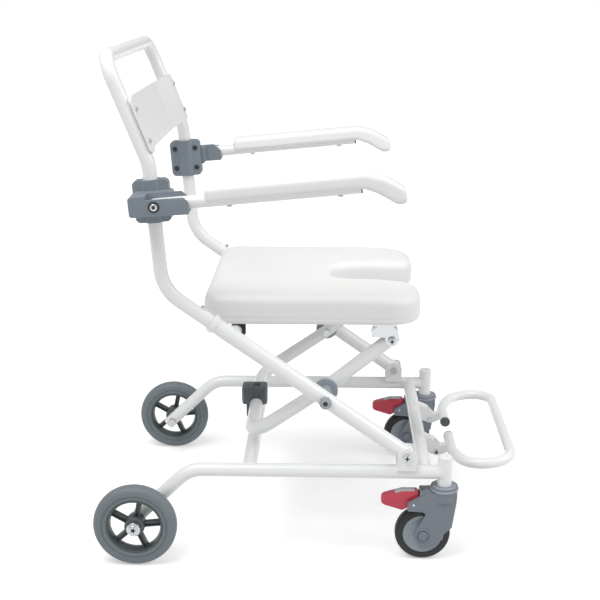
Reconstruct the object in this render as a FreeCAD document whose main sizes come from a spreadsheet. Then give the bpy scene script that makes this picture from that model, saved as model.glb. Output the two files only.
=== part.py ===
import FreeCAD, Part
import math
import os

import Sketcher
from FreeCAD import Placement, Rotation, Vector

# Shower commode chair: folding tubular frame on two large rear wheels and two braked casters.
# Millimetres. +X is the way the sitter faces, +Y the sitter's left, +Z up.
# The origin is on the floor under the middle of the chair's length and width.
# Right-hand pieces are drawn at negative Y; left-hand pieces are their mirror images.

doc = FreeCAD.newDocument("shower_commode_chair")
sheet = doc.addObject("Spreadsheet::Sheet", "Dimensions")

X_AXIS = Vector(1, 0, 0)
Y_AXIS = Vector(0, 1, 0)
Z_AXIS = Vector(0, 0, 1)
NEAR_ENOUGH = 1e-4
QUARTER_TURN = 90
FULL_TURN = 360
NUT_SIDES = 6
sheet_rows = []
sub_parts = []


class Size:
    """A length or angle with the sheet expression that gives it."""

    def __init__(self, value, text):
        self.value = float(value)
        self.text = text

    def __add__(self, other):
        other = as_size(other)
        return Size(self.value + other.value, f"({self.text} + {other.text})")

    def __radd__(self, other):
        return as_size(other) + self

    def __sub__(self, other):
        other = as_size(other)
        return Size(self.value - other.value, f"({self.text} - {other.text})")

    def __rsub__(self, other):
        return as_size(other) - self

    def __mul__(self, other):
        other = as_size(other)
        return Size(self.value * other.value, f"({self.text} * {other.text})")

    def __rmul__(self, other):
        return as_size(other) * self

    def __truediv__(self, other):
        other = as_size(other)
        return Size(self.value / other.value, f"({self.text} / {other.text})")

    def __neg__(self):
        return Size(-self.value, f"(0 - {self.text})")


def as_size(item):
    """Return the item as a Size, so that whole numbers can stand in sums."""
    if isinstance(item, Size):
        return item
    return Size(item, f"{float(item)}")


def named(alias, value, meaning):
    """Write one driving dimension to the sheet and return it."""
    sheet_rows.append(alias)
    row = len(sheet_rows)
    sheet.set(f"A{row}", meaning)
    sheet.set(f"B{row}", f"{value}")
    sheet.setAlias(f"B{row}", alias)
    return Size(value, f"Dimensions.{alias}")


def cosine(angle):
    """The cosine of an angle in degrees."""
    return Size(math.cos(math.radians(angle.value)), f"cos({angle.text})")


def sine(angle):
    """The sine of an angle in degrees."""
    return Size(math.sin(math.radians(angle.value)), f"sin({angle.text})")


def tangent(angle):
    """The tangent of an angle in degrees."""
    return Size(math.tan(math.radians(angle.value)), f"tan({angle.text})")


ZERO = as_size(0)


def bind(item, prop, size):
    """Tie a property of an object to the sheet."""
    item.setExpression(prop, as_size(size).text)


def place(item, x=ZERO, y=ZERO, z=ZERO, angle=None):
    """Put an object at a point, turned by an angle about the Y axis."""
    turn = Rotation(Y_AXIS, as_size(angle).value if angle is not None else 0)
    item.Placement = Placement(Vector(as_size(x).value, as_size(y).value, as_size(z).value), turn)
    bind(item, "Placement.Base.x", x)
    bind(item, "Placement.Base.y", y)
    bind(item, "Placement.Base.z", z)
    if angle is not None:
        bind(item, "Placement.Rotation.Angle", angle)
    return item


def keep(item, label):
    """Name a finished sub-part and put it on the list of pieces."""
    item.Label = label
    sub_parts.append(item)
    return item


def mirrored(source, label=None):
    """The left-hand twin of a right-hand piece, across the chair's middle plane."""
    twin = doc.addObject("Part::Mirroring", f"{source.Name}_twin")
    twin.Source = source
    twin.Normal = Y_AXIS
    twin.Base = Vector(0, 0, 0)
    if label is not None:
        keep(twin, label)
    return twin


def group(label, items):
    """Several like pieces that share one node, each still a solid of its own."""
    cluster = doc.addObject("Part::Compound", f"{label}_group")
    cluster.Links = items
    return keep(cluster, label)


def pair(label, source):
    """A right-hand piece and its left-hand twin in one node."""
    return group(label, [source, mirrored(source)])


# Part primitives and booleans


def rod(name, diameter, length, axis="z", x=ZERO, y=ZERO, z=ZERO):
    """A round bar that starts at a point and runs along an axis."""
    bar = doc.addObject("Part::Cylinder", name)
    bind(bar, "Radius", as_size(diameter) / 2)
    bind(bar, "Height", length)
    turns = {"x": (Y_AXIS, QUARTER_TURN), "y": (X_AXIS, -QUARTER_TURN), "z": (Z_AXIS, 0)}
    turn_axis, turn_angle = turns[axis]
    bar.Placement = Placement(Vector(as_size(x).value, as_size(y).value, as_size(z).value),
                              Rotation(turn_axis, turn_angle))
    bind(bar, "Placement.Base.x", x)
    bind(bar, "Placement.Base.y", y)
    bind(bar, "Placement.Base.z", z)
    return bar


def block(name, length, width, height, x=ZERO, y=ZERO, z=ZERO):
    """A box whose lowest corner is at a point."""
    box = doc.addObject("Part::Box", name)
    bind(box, "Length", length)
    bind(box, "Width", width)
    bind(box, "Height", height)
    place(box, x, y, z)
    return box


def hexagon(name, across_corners, length, x=ZERO, y=ZERO, z=ZERO):
    """A hexagonal nut blank along Y that starts at a point."""
    nut = doc.addObject("Part::Prism", name)
    nut.Polygon = NUT_SIDES
    bind(nut, "Circumradius", as_size(across_corners) / 2)
    bind(nut, "Height", length)
    nut.Placement = Placement(Vector(as_size(x).value, as_size(y).value, as_size(z).value),
                              Rotation(X_AXIS, -QUARTER_TURN))
    bind(nut, "Placement.Base.x", x)
    bind(nut, "Placement.Base.y", y)
    bind(nut, "Placement.Base.z", z)
    return nut


def fuse(name, items):
    """Several overlapping or touching shapes as one."""
    joined = doc.addObject("Part::MultiFuse", name)
    joined.Shapes = items
    return joined


def cut(name, base, tools):
    """The base less one tool or several."""
    tool = tools[0] if len(tools) == 1 else fuse(f"{name}_tools", tools)
    result = doc.addObject("Part::Cut", name)
    result.Base = base
    result.Tool = tool
    return result


def common(name, base, tool):
    """The part of the base that also lies in the tool."""
    result = doc.addObject("Part::Common", name)
    result.Base = base
    result.Tool = tool
    return result


# Bodies, sketches and their features


def new_body(name):
    """An empty body for sketch-based features."""
    return doc.addObject("PartDesign::Body", name)


def origin_plane(body, role):
    """One of the body's own origin planes."""
    for feature in body.Origin.OriginFeatures:
        if feature.Role == role:
            return feature
    raise RuntimeError(f"no {role} in {body.Name}")


def new_sketch(body, name, role, offset=ZERO):
    """A sketch on one of the body's own origin planes, moved along the plane's normal."""
    sketch = body.newObject("Sketcher::SketchObject", f"{body.Name}_{name}")
    sketch.AttachmentSupport = [(origin_plane(body, role), "")]
    sketch.MapMode = "FlatFace"
    sketch.AttachmentOffset = Placement(Vector(0, 0, as_size(offset).value), Rotation())
    bind(sketch, "AttachmentOffset.Base.z", offset)
    return sketch


def pin_point(sketch, geometry, position, point):
    """Fix a point of a sketch at a pair of coordinates from the sheet."""
    for kind, size in (("DistanceX", point[0]), ("DistanceY", point[1])):
        size = as_size(size)
        index = sketch.addConstraint(Sketcher.Constraint(kind, -1, 1, geometry, position, size.value))
        sketch.setExpression(f"Constraints[{index}]", size.text)


def end_at(sketch, geometry, target):
    """Tell which end of a line or arc lies at a point."""
    for position in (1, 2):
        if sketch.getPoint(geometry, position).distanceToPoint(target) < NEAR_ENOUGH:
            return position
    raise RuntimeError(f"no end of {sketch.Name} at {target}")


def draw_circle(sketch, x, y, diameter):
    """A circle whose centre and diameter follow the sheet."""
    x, y, diameter = as_size(x), as_size(y), as_size(diameter)
    circle = sketch.addGeometry(Part.Circle(Vector(x.value, y.value, 0), Z_AXIS, diameter.value / 2), False)
    pin_point(sketch, circle, 3, (x, y))
    index = sketch.addConstraint(Sketcher.Constraint("Diameter", circle, diameter.value))
    sketch.setExpression(f"Constraints[{index}]", diameter.text)


def draw_outline(sketch, corners, radii=None, closed=True):
    """Straight runs between corners, each inner corner rounded where it has a radius."""
    count = len(corners)
    corners = [(as_size(x), as_size(y)) for x, y in corners]
    radii = [as_size(radius) for radius in (radii or [0] * count)]
    points = [Vector(x.value, y.value, 0) for x, y in corners]
    first = 0 if closed else 1
    last = count if closed else count - 1
    arcs = {}
    for index in range(first, last):
        if radii[index].value <= 0:
            continue
        here = points[index]
        back = (points[index - 1] - here).normalize()
        ahead = (points[(index + 1) % count] - here).normalize()
        half = back.getAngle(ahead) / 2
        reach = radii[index].value / math.tan(half)
        centre = here + (back + ahead).normalize() * (radii[index].value / math.sin(half))
        middle = centre + (here - centre).normalize() * radii[index].value
        arcs[index] = (here + back * reach, middle, here + ahead * reach)
    lines = []
    for index in range(count if closed else count - 1):
        following = (index + 1) % count
        start = arcs[index][2] if index in arcs else points[index]
        finish = arcs[following][0] if following in arcs else points[following]
        lines.append((sketch.addGeometry(Part.LineSegment(start, finish), False), start, finish))
    for index in range(count):
        before = lines[index - 1] if closed or index > 0 else None
        after = lines[index] if closed or index < count - 1 else None
        if index in arcs:
            start, middle, finish = arcs[index]
            arc = sketch.addGeometry(Part.Arc(start, middle, finish), False)
            arc_start = end_at(sketch, arc, start)
            arc_finish = end_at(sketch, arc, finish)
            sketch.addConstraint(Sketcher.Constraint("Tangent", before[0], 2, arc, arc_start))
            sketch.addConstraint(Sketcher.Constraint("Tangent", arc, arc_finish, after[0], 1))
            limit = sketch.addConstraint(Sketcher.Constraint("Radius", arc, radii[index].value))
            sketch.setExpression(f"Constraints[{limit}]", radii[index].text)
            corner = sketch.addGeometry(Part.Point(points[index]), True)
            pin_point(sketch, corner, 1, corners[index])
            sketch.addConstraint(Sketcher.Constraint("PointOnObject", corner, 1, before[0]))
            sketch.addConstraint(Sketcher.Constraint("PointOnObject", corner, 1, after[0]))
        elif before is not None and after is not None:
            sketch.addConstraint(Sketcher.Constraint("Coincident", before[0], 2, after[0], 1))
            pin_point(sketch, after[0], 1, corners[index])
        elif after is not None:
            pin_point(sketch, after[0], 1, corners[index])
        else:
            pin_point(sketch, before[0], 2, corners[index])


def rectangle(sketch, left, low, right, high, radius=None):
    """An upright rectangle, its corners rounded if a radius is given."""
    corners = [(left, low), (right, low), (right, high), (left, high)]
    draw_outline(sketch, corners, [radius] * 4 if radius is not None else None)


def pad(body, sketch, length):
    """Raise a sketch along its plane's normal."""
    feature = body.newObject("PartDesign::Pad", f"{sketch.Name}_pad")
    feature.Profile = sketch
    bind(feature, "Length", length)
    return feature


def pocket(body, sketch, depth):
    """Sink a sketch against its plane's normal and make sure that material goes."""
    doc.recompute()
    before = body.Shape.Volume
    feature = body.newObject("PartDesign::Pocket", f"{sketch.Name}_pocket")
    feature.Profile = sketch
    bind(feature, "Length", depth)
    doc.recompute()
    if body.Shape.Volume >= before - NEAR_ENOUGH:
        raise RuntimeError(f"{feature.Name} cuts nothing")
    return feature


def revolve(body, sketch):
    """Turn a sketch once round its vertical axis."""
    feature = body.newObject("PartDesign::Revolution", f"{sketch.Name}_revolution")
    feature.Profile = sketch
    feature.ReferenceAxis = (sketch, ["V_Axis"])
    feature.Angle = FULL_TURN
    return feature


def pipe(body, spine, profile):
    """Run a tube section along a spine sketch."""
    doc.recompute()
    feature = body.newObject("PartDesign::AdditivePipe", f"{body.Name}_pipe")
    feature.Profile = (profile, [""])
    feature.Spine = (spine, [f"Edge{index + 1}" for index in range(len(spine.Shape.Edges))])
    return feature


def ring_sketch(body, name, role, outer, inner, offset=ZERO, x=ZERO, y=ZERO):
    """A sketch of two circles about one centre."""
    sketch = new_sketch(body, name, role, offset)
    draw_circle(sketch, x, y, outer)
    draw_circle(sketch, x, y, inner)
    return sketch


def disc_sketch(body, name, role, diameter, offset=ZERO, x=ZERO, y=ZERO):
    """A sketch of one circle."""
    sketch = new_sketch(body, name, role, offset)
    draw_circle(sketch, x, y, diameter)
    return sketch


def round_edges(body, radius, chosen):
    """Fillet the body's edges that a test picks out."""
    doc.recompute()
    tip = body.Tip
    names = [f"Edge{index + 1}" for index, edge in enumerate(tip.Shape.Edges) if chosen(edge)]
    if not names:
        raise RuntimeError(f"no edge to round on {body.Name}")
    feature = body.newObject("PartDesign::Fillet", f"{body.Name}_rounding_{len(body.Group)}")
    feature.Base = (tip, names)
    bind(feature, "Radius", radius)
    return feature


def vector(x, y, z):
    """The numeric vector of three sizes."""
    return Vector(as_size(x).value, as_size(y).value, as_size(z).value)


def bent_tube(label, corners, radii, outer, bore, holes=()):
    """A hollow tube bent in space through a list of corners, with round holes drilled across."""
    points = [vector(*corner) for corner in corners]
    edges = []
    start = points[0]
    for index in range(1, len(points) - 1):
        here = points[index]
        back = (points[index - 1] - here).normalize()
        ahead = (points[index + 1] - here).normalize()
        half = back.getAngle(ahead) / 2
        radius = as_size(radii[index - 1]).value
        centre = here + (back + ahead).normalize() * (radius / math.sin(half))
        middle = centre + (here - centre).normalize() * radius
        arc_start = here + back * (radius / math.tan(half))
        arc_end = here + ahead * (radius / math.tan(half))
        edges.append(Part.LineSegment(start, arc_start).toShape())
        edges.append(Part.Arc(arc_start, middle, arc_end).toShape())
        start = arc_end
    edges.append(Part.LineSegment(start, points[-1]).toShape())
    spine = Part.Wire(edges)
    heading = (points[1] - points[0]).normalize()
    skins = []
    for diameter in (outer, bore):
        section = Part.Wire([Part.Circle(points[0], heading, as_size(diameter).value / 2).toShape()])
        skins.append(spine.makePipeShell([section], True, True))
    solid = skins[0].cut(skins[1])
    for diameter, start, heading, length in holes:
        solid = solid.cut(Part.makeCylinder(diameter.value / 2, length.value, start, heading))
    feature = doc.addObject("Part::Feature", f"{label}_shape")
    feature.Shape = solid.Solids[0]
    feature.Placement = Placement(Vector(0, 0, 0), Rotation())
    return keep(feature, label)


# Sizes shared by the whole frame

tube_diameter = named("tube_diameter", 25.0, "outer diameter of the frame tubes")
tube_bore = named("tube_bore", 21.0, "inner diameter of the frame tubes")
side_offset = named("side_offset", 230.0, "middle plane to each side frame")
base_height = named("base_height", 167.0, "floor to the base tube's centreline")
stem_x = named("stem_x", 243.0, "caster stem ahead of the origin")
rear_wheel_diameter = named("rear_wheel_diameter", 150.0, "rear wheel over the tyre")
running_clearance = named("running_clearance", 0.05, "radial play of a turning pin")
pin_diameter = named("pin_diameter", 8.0, "pivot bolts of the folding frame")
pin_hole = pin_diameter + running_clearance * 2
nut_across_corners = named("nut_across_corners", 15.0, "pivot nut, corner to corner")
nut_thickness = named("nut_thickness", 6.0, "pivot nut")
bolt_head_diameter = named("bolt_head_diameter", 14.0, "pivot bolt head")
bolt_head_height = named("bolt_head_height", 4.5, "pivot bolt head")

# Base frame: side tubes that run back from the stems and drop to the rear axle

base_run = named("base_run", 457.0, "stem to the bend of the base tube")
base_drop_angle = named("base_drop_angle", 44.0, "fall of the rear part of the base tube")
base_bend_radius = named("base_bend_radius", 60.0, "bend of the base tube")
base_tail = named("base_tail", 12.0, "tube past the axle hole")
axle_diameter = named("axle_diameter", 10.0, "rear axle bolt")
axle_height = rear_wheel_diameter / 2
drop = base_height - axle_height
axle_x = stem_x - base_run - drop / tangent(base_drop_angle)
tail_reach = base_run + drop / tangent(base_drop_angle) + base_tail * cosine(base_drop_angle)
tail_fall = drop + base_tail * sine(base_drop_angle)
stem_diameter = named("stem_diameter", 26.0, "caster stem tube")

base_tube = new_body("base_tube")
base_spine = new_sketch(base_tube, "spine", "XZ_Plane")
draw_outline(base_spine, [(0, 0), (-base_run, 0), (-tail_reach, -tail_fall)],
             [0, base_bend_radius, 0], closed=False)
base_section = ring_sketch(base_tube, "section", "YZ_Plane", tube_diameter, tube_bore)
pipe(base_tube, base_spine, base_section)
base_cope = disc_sketch(base_tube, "cope", "XY_Plane", stem_diameter, tube_diameter)
pocket(base_tube, base_cope, tube_diameter * 2)
base_axle_hole = disc_sketch(base_tube, "axle_hole", "XZ_Plane", axle_diameter, tube_diameter,
                             axle_x - stem_x, axle_height - base_height)
pocket(base_tube, base_axle_hole, tube_diameter * 2)
place(base_tube, stem_x, -side_offset, base_height)
keep(base_tube, "base_tube_right")
mirrored(base_tube, "base_tube_left")

stem_low = named("stem_low", 142.5, "floor to the stem tube's lower end")
stem_high = named("stem_high", 194.0, "floor to the stem tube's upper end")
stem_bore = named("stem_bore", 21.0, "inside of the stem tube")
stem_tube = new_body("stem_tube")
stem_section = ring_sketch(stem_tube, "section", "XY_Plane", stem_diameter, stem_bore)
pad(stem_tube, stem_section, stem_high - stem_low)
place(stem_tube, stem_x, -side_offset, stem_low)
pair("stem_tubes", stem_tube)

stem_cap_height = named("stem_cap_height", 4.5, "domed top of the stem cap")
stem_plug_depth = named("stem_plug_depth", 6.0, "stem cap inside the tube")
stem_cap_round = named("stem_cap_round", 3.5, "rounded rim of the stem cap")
stem_cap_body = new_body("stem_cap_body")
cap_disc = disc_sketch(stem_cap_body, "dome", "XY_Plane", stem_diameter)
pad(stem_cap_body, cap_disc, stem_cap_height)
cap_plug = disc_sketch(stem_cap_body, "plug", "XY_Plane", stem_bore, -stem_plug_depth)
pad(stem_cap_body, cap_plug, stem_plug_depth)
round_edges(stem_cap_body, stem_cap_round,
            lambda edge: edge.BoundBox.ZMin > stem_cap_height.value - NEAR_ENOUGH)
place(stem_cap_body, stem_x, -side_offset, stem_high)
pair("stem_caps", stem_cap_body)

kingpin_diameter = named("kingpin_diameter", 10.0, "caster stem pin")
stem_bush_height = named("stem_bush_height", 12.0, "bearing bush in the stem tube")
stem_bush_bore = kingpin_diameter + running_clearance * 2
lower_bush = new_body("lower_bush")
pad(lower_bush, ring_sketch(lower_bush, "ring", "XY_Plane", stem_bore, stem_bush_bore), stem_bush_height)
place(lower_bush, stem_x, -side_offset, stem_low)
upper_bush = new_body("upper_bush")
pad(upper_bush, ring_sketch(upper_bush, "ring", "XY_Plane", stem_bore, stem_bush_bore), stem_bush_height)
upper_bush_low = stem_high - stem_plug_depth - stem_bush_height
place(upper_bush, stem_x, -side_offset, upper_bush_low)
group("stem_bushes", [lower_bush, upper_bush, mirrored(lower_bush), mirrored(upper_bush)])

# Crossbars of the base, coped to the side tubes

front_bar_x = named("front_bar_x", 208.0, "front crossbar")
rear_bar_x = named("rear_bar_x", -107.0, "rear crossbar")
cope_length = named("cope_length", 60.0, "length of the coping cutters")


def crossbar(label, x, z, diameter, bore, side_diameter, direction=None):
    """A tube across the chair, its ends shaped to the side tubes."""
    outer = rod(f"{label}_outer", diameter, side_offset * 2, "y", x, -side_offset, z)
    inner = rod(f"{label}_inner", bore, side_offset * 2, "y", x, -side_offset, z)
    cutters = [inner]
    for side, y in (("right", -side_offset), ("left", side_offset)):
        if direction is None:
            cutters.append(rod(f"{label}_{side}_cutter", side_diameter, cope_length, "x",
                               x - cope_length / 2, y, z))
        else:
            cutter = rod(f"{label}_{side}_cutter", side_diameter, cope_length)
            place(cutter, x + cosine(direction) * cope_length / 2, y,
                  z - sine(direction) * cope_length / 2, direction - QUARTER_TURN)
            cutters.append(cutter)
    return keep(cut(f"{label}_tube", outer, cutters), label)


crossbar("front_crossbar", front_bar_x, base_height, tube_diameter, tube_bore, tube_diameter)
crossbar("rear_crossbar", rear_bar_x, base_height, tube_diameter, tube_bore, tube_diameter)

# Folding brackets: upright channels on the base tubes that carry the lower legs

fold_x = named("fold_x", 174.0, "lower leg pivot")
fold_z = named("fold_z", 201.0, "floor to the lower leg pivot")
leg_diameter = named("leg_diameter", 28.0, "lower leg tube")
sleeve_clearance = named("sleeve_clearance", 0.08, "radial play of the back tube in the lower leg")
leg_bore = tube_diameter + sleeve_clearance * 2
bracket_gap = named("bracket_gap", 29.0, "between the cheeks of the fold bracket")
bracket_plate = named("bracket_plate", 3.0, "sheet of the brackets")
bracket_length = named("bracket_length", 34.0, "fold bracket along the base tube")
bracket_top = named("bracket_top", 13.0, "fold bracket above the pivot")
bracket_skirt = named("bracket_skirt", 4.0, "fold bracket below the top of the base tube")
bracket_round = named("bracket_round", 10.0, "upper corners of the fold bracket")
bracket_half = bracket_gap / 2 + bracket_plate
skirt_z = base_height + tube_diameter / 2 - bracket_skirt

fold_bracket = new_body("fold_bracket")
cheeks = new_sketch(fold_bracket, "cheeks", "XZ_Plane", -bracket_half)
draw_outline(cheeks,
             [(-bracket_length / 2, skirt_z - fold_z), (bracket_length / 2, skirt_z - fold_z),
              (bracket_length / 2, bracket_top), (-bracket_length / 2, bracket_top)],
             [0, 0, bracket_round, bracket_round])
pad(fold_bracket, cheeks, bracket_half * 2)
web_top_z = base_height + tube_diameter / 2 + bracket_plate
channel = new_sketch(fold_bracket, "channel", "YZ_Plane", bracket_length)
rectangle(channel, -bracket_gap / 2, web_top_z - fold_z, bracket_gap / 2, bracket_top * 2)
pocket(fold_bracket, channel, bracket_length * 2)
saddle = disc_sketch(fold_bracket, "saddle", "YZ_Plane", tube_diameter, bracket_length,
                     ZERO, base_height - fold_z)
pocket(fold_bracket, saddle, bracket_length * 2)
fold_hole = disc_sketch(fold_bracket, "hole", "XZ_Plane", pin_diameter, bracket_half * 2)
pocket(fold_bracket, fold_hole, bracket_half * 4)
place(fold_bracket, fold_x, -side_offset, fold_z)
pair("fold_brackets", fold_bracket)


def pivot_bolt(name, x, z, y_head, y_nut, shank, head, head_height, nut, nut_height):
    """A headed bolt along Y: the head outside at y_head, the nut inside at y_nut."""
    pieces = [
        rod(f"{name}_shank", shank, y_nut - y_head + nut_height, "y", x, y_head, z),
        rod(f"{name}_head", head, head_height, "y", x, y_head - head_height, z),
        hexagon(f"{name}_nut", nut, nut_height, x, y_nut, z),
    ]
    return fuse(name, pieces)


fold_bolt = pivot_bolt("fold_bolt", fold_x, fold_z, -side_offset - bracket_half,
                       -side_offset + bracket_half, pin_diameter, bolt_head_diameter,
                       bolt_head_height, nut_across_corners, nut_thickness)
pair("fold_pivot_bolts", fold_bolt)

# Footrest brackets on the front crossbar

foot_hinge_x = named("foot_hinge_x", 241.0, "footrest hinge")
foot_hinge_z = named("foot_hinge_z", 146.0, "floor to the footrest hinge")
foot_hinge_y = named("foot_hinge_y", 82.0, "middle plane to each footrest bracket")
foot_lug_width = named("foot_lug_width", 14.0, "lug of the footrest loop")
foot_side_gap = named("foot_side_gap", 0.5, "lug to bracket cheek")
foot_cheek_crown = named("foot_cheek_crown", 14.5, "bracket above the crossbar's centre")
foot_cheek_back = named("foot_cheek_back", 2.0, "bracket ahead of the crossbar's centre")
foot_brow_x = named("foot_brow_x", 28.0, "front edge of the bracket's web ahead of the crossbar")
foot_brow_z = named("foot_brow_z", 3.5, "front edge of the bracket's web above the crossbar's centre")
foot_nose = named("foot_nose", 9.0, "bracket around the hinge bolt")
foot_heel_back = named("foot_heel_back", 13.0, "hinge back to the bracket's lower rear corner")
foot_heel_drop = named("foot_heel_drop", 3.0, "hinge down to the bracket's lower rear corner")
foot_heel_low = named("foot_heel_low", 10.0, "bracket's rear edge below the crossbar's centre")
foot_nose_round = named("foot_nose_round", 6.75, "rounded nose of the bracket")
foot_bolt_diameter = named("foot_bolt_diameter", 6.0, "footrest hinge bolt")
foot_bolt_head = named("foot_bolt_head", 11.0, "footrest hinge bolt head")
foot_bolt_head_height = named("foot_bolt_head_height", 3.0, "footrest hinge bolt head")
foot_nut = named("foot_nut", 11.0, "footrest hinge nut, corner to corner")
foot_half = foot_lug_width / 2 + foot_side_gap + bracket_plate
hinge_dx = foot_hinge_x - front_bar_x
hinge_dz = foot_hinge_z - base_height

foot_bracket = new_body("foot_bracket")
foot_cheeks = new_sketch(foot_bracket, "cheeks", "XZ_Plane", -foot_half)
draw_outline(foot_cheeks,
             [(foot_cheek_back, ZERO), (foot_cheek_back, foot_cheek_crown), (foot_brow_x, foot_brow_z),
              (hinge_dx + foot_nose, hinge_dz + foot_nose), (hinge_dx + foot_nose, hinge_dz - foot_nose),
              (hinge_dx - foot_heel_back, hinge_dz - foot_heel_drop), (foot_cheek_back, -foot_heel_low)],
             [0, 0, bracket_plate, bracket_plate, foot_nose_round, 0, 0])
pad(foot_bracket, foot_cheeks, foot_half * 2)
foot_channel = new_sketch(foot_bracket, "channel", "XZ_Plane", foot_half - bracket_plate)
draw_outline(foot_channel,
             [(ZERO, -foot_cheek_crown * 4), (ZERO, foot_cheek_crown - bracket_plate),
              (foot_brow_x, foot_brow_z - bracket_plate), (foot_brow_x, foot_cheek_crown * 2),
              (hinge_dx + foot_nose * 2, foot_cheek_crown * 2),
              (hinge_dx + foot_nose * 2, -foot_cheek_crown * 4)])
pocket(foot_bracket, foot_channel, foot_half * 2 - bracket_plate * 2)
foot_saddle = disc_sketch(foot_bracket, "saddle", "XZ_Plane", tube_diameter, foot_half * 2)
pocket(foot_bracket, foot_saddle, foot_half * 4)
foot_hole = disc_sketch(foot_bracket, "hole", "XZ_Plane", foot_bolt_diameter, foot_half * 2,
                        hinge_dx, hinge_dz)
pocket(foot_bracket, foot_hole, foot_half * 4)
place(foot_bracket, front_bar_x, -foot_hinge_y, base_height)
pair("footrest_brackets", foot_bracket)

foot_bolt = pivot_bolt("foot_bolt", foot_hinge_x, foot_hinge_z, -foot_hinge_y - foot_half,
                       -foot_hinge_y + foot_half, foot_bolt_diameter, foot_bolt_head,
                       foot_bolt_head_height, foot_nut, foot_bolt_head_height)
pair("footrest_hinge_bolts", foot_bolt)

# Footrest: one bent loop, nearly level, open at the rear, with a lug welded on for each bracket

loop_diameter = named("loop_diameter", 19.5, "footrest tube")
loop_bore = named("loop_bore", 16.5, "inside of the footrest tube")
loop_rear_x = named("loop_rear_x", 269.0, "rear run of the footrest")
loop_rear_z = named("loop_rear_z", 155.0, "floor to the rear run of the footrest")
loop_rise_angle = named("loop_rise_angle", 5.6, "footrest up toward its front")
loop_depth = named("loop_depth", 106.0, "rear run to front run of the footrest")
loop_half_gap = named("loop_half_gap", 38.0, "middle plane to each open end")
loop_shoulder = named("loop_shoulder", 107.0, "middle plane to the rear shoulder")
loop_flare = named("loop_flare", 19.6, "shoulder set forward at the sides")
loop_half_width = named("loop_half_width", 176.0, "middle plane to the side runs")
loop_shoulder_radius = named("loop_shoulder_radius", 45.0, "bend at the rear shoulder")
loop_rear_radius = named("loop_rear_radius", 50.0, "bend at the rear corner")
loop_front_radius = named("loop_front_radius", 47.0, "bend at the front corner")

footrest = new_body("footrest")
loop_spine = new_sketch(footrest, "spine", "XY_Plane")
loop_path = [(ZERO, ZERO), (ZERO, loop_half_gap - loop_shoulder),
             (loop_flare, loop_half_gap - loop_half_width),
             (loop_depth, loop_half_gap - loop_half_width),
             (loop_depth, loop_half_gap + loop_half_width),
             (loop_flare, loop_half_gap + loop_half_width),
             (ZERO, loop_half_gap + loop_shoulder), (ZERO, loop_half_gap * 2)]
draw_outline(loop_spine, loop_path,
             [0, loop_shoulder_radius, loop_rear_radius, loop_front_radius, loop_front_radius,
              loop_rear_radius, loop_shoulder_radius, 0], closed=False)
loop_section = ring_sketch(footrest, "section", "XZ_Plane", loop_diameter, loop_bore)
pipe(footrest, loop_spine, loop_section)
rise = loop_rise_angle
hinge_back = foot_hinge_x - loop_rear_x
hinge_down = foot_hinge_z - loop_rear_z
lug_x = hinge_back * cosine(rise) + hinge_down * sine(rise)
lug_z = hinge_down * cosine(rise) - hinge_back * sine(rise)
lug_eye = named("lug_eye", 8.5, "lug around the hinge bolt")
lug_waist = named("lug_waist", 6.0, "lug where it meets the loop")
lug_round = named("lug_round", 6.0, "rounded underside of the lug")
lug_fillet = named("lug_fillet", 3.0, "inner bend of the lug's underside")
for side, lug_y in (("right", loop_half_gap - foot_hinge_y), ("left", loop_half_gap + foot_hinge_y)):
    lug_face = new_sketch(footrest, f"{side}_lug", "XZ_Plane", -lug_y - foot_lug_width / 2)
    draw_outline(lug_face,
                 [(lug_x - lug_eye, lug_z - lug_eye), (lug_x + lug_eye, lug_z - lug_eye),
                  (ZERO, -lug_waist), (ZERO, lug_waist), (lug_x - lug_eye / 2, lug_z + lug_eye)],
                 [lug_round, lug_fillet, 0, 0, lug_fillet])
    pad(footrest, lug_face, foot_lug_width)
    lug_hole = disc_sketch(footrest, f"{side}_lug_hole", "XZ_Plane",
                           foot_bolt_diameter + running_clearance * 2,
                           -lug_y + foot_lug_width, lug_x, lug_z)
    pocket(footrest, lug_hole, foot_lug_width * 2)
loop_clear = disc_sketch(footrest, "bore_clear", "XZ_Plane", loop_bore, loop_shoulder - loop_half_gap)
pocket(footrest, loop_clear, loop_shoulder - loop_half_gap)
loop_clear_left = disc_sketch(footrest, "bore_clear_left", "XZ_Plane", loop_bore, -loop_half_gap * 2)
pocket(footrest, loop_clear_left, loop_shoulder - loop_half_gap)
place(footrest, loop_rear_x, -loop_half_gap, loop_rear_z, -loop_rise_angle)
keep(footrest, "footrest_loop")

loop_plug_depth = named("loop_plug_depth", 12.0, "end plug inside the footrest tube")
loop_plug_flange = named("loop_plug_flange", 3.0, "visible disc of the end plug")
loop_plug = new_body("loop_plug")
pad(loop_plug, disc_sketch(loop_plug, "stem", "XZ_Plane", loop_bore), loop_plug_depth)
pad(loop_plug, disc_sketch(loop_plug, "flange", "XZ_Plane", loop_diameter, -loop_plug_flange),
    loop_plug_flange)
place(loop_plug, loop_rear_x, -loop_half_gap, loop_rear_z, -loop_rise_angle)
pair("footrest_plugs", loop_plug)

# Rear wheels: moulded five-spoke rims with solid grey tyres on axle bolts

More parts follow.
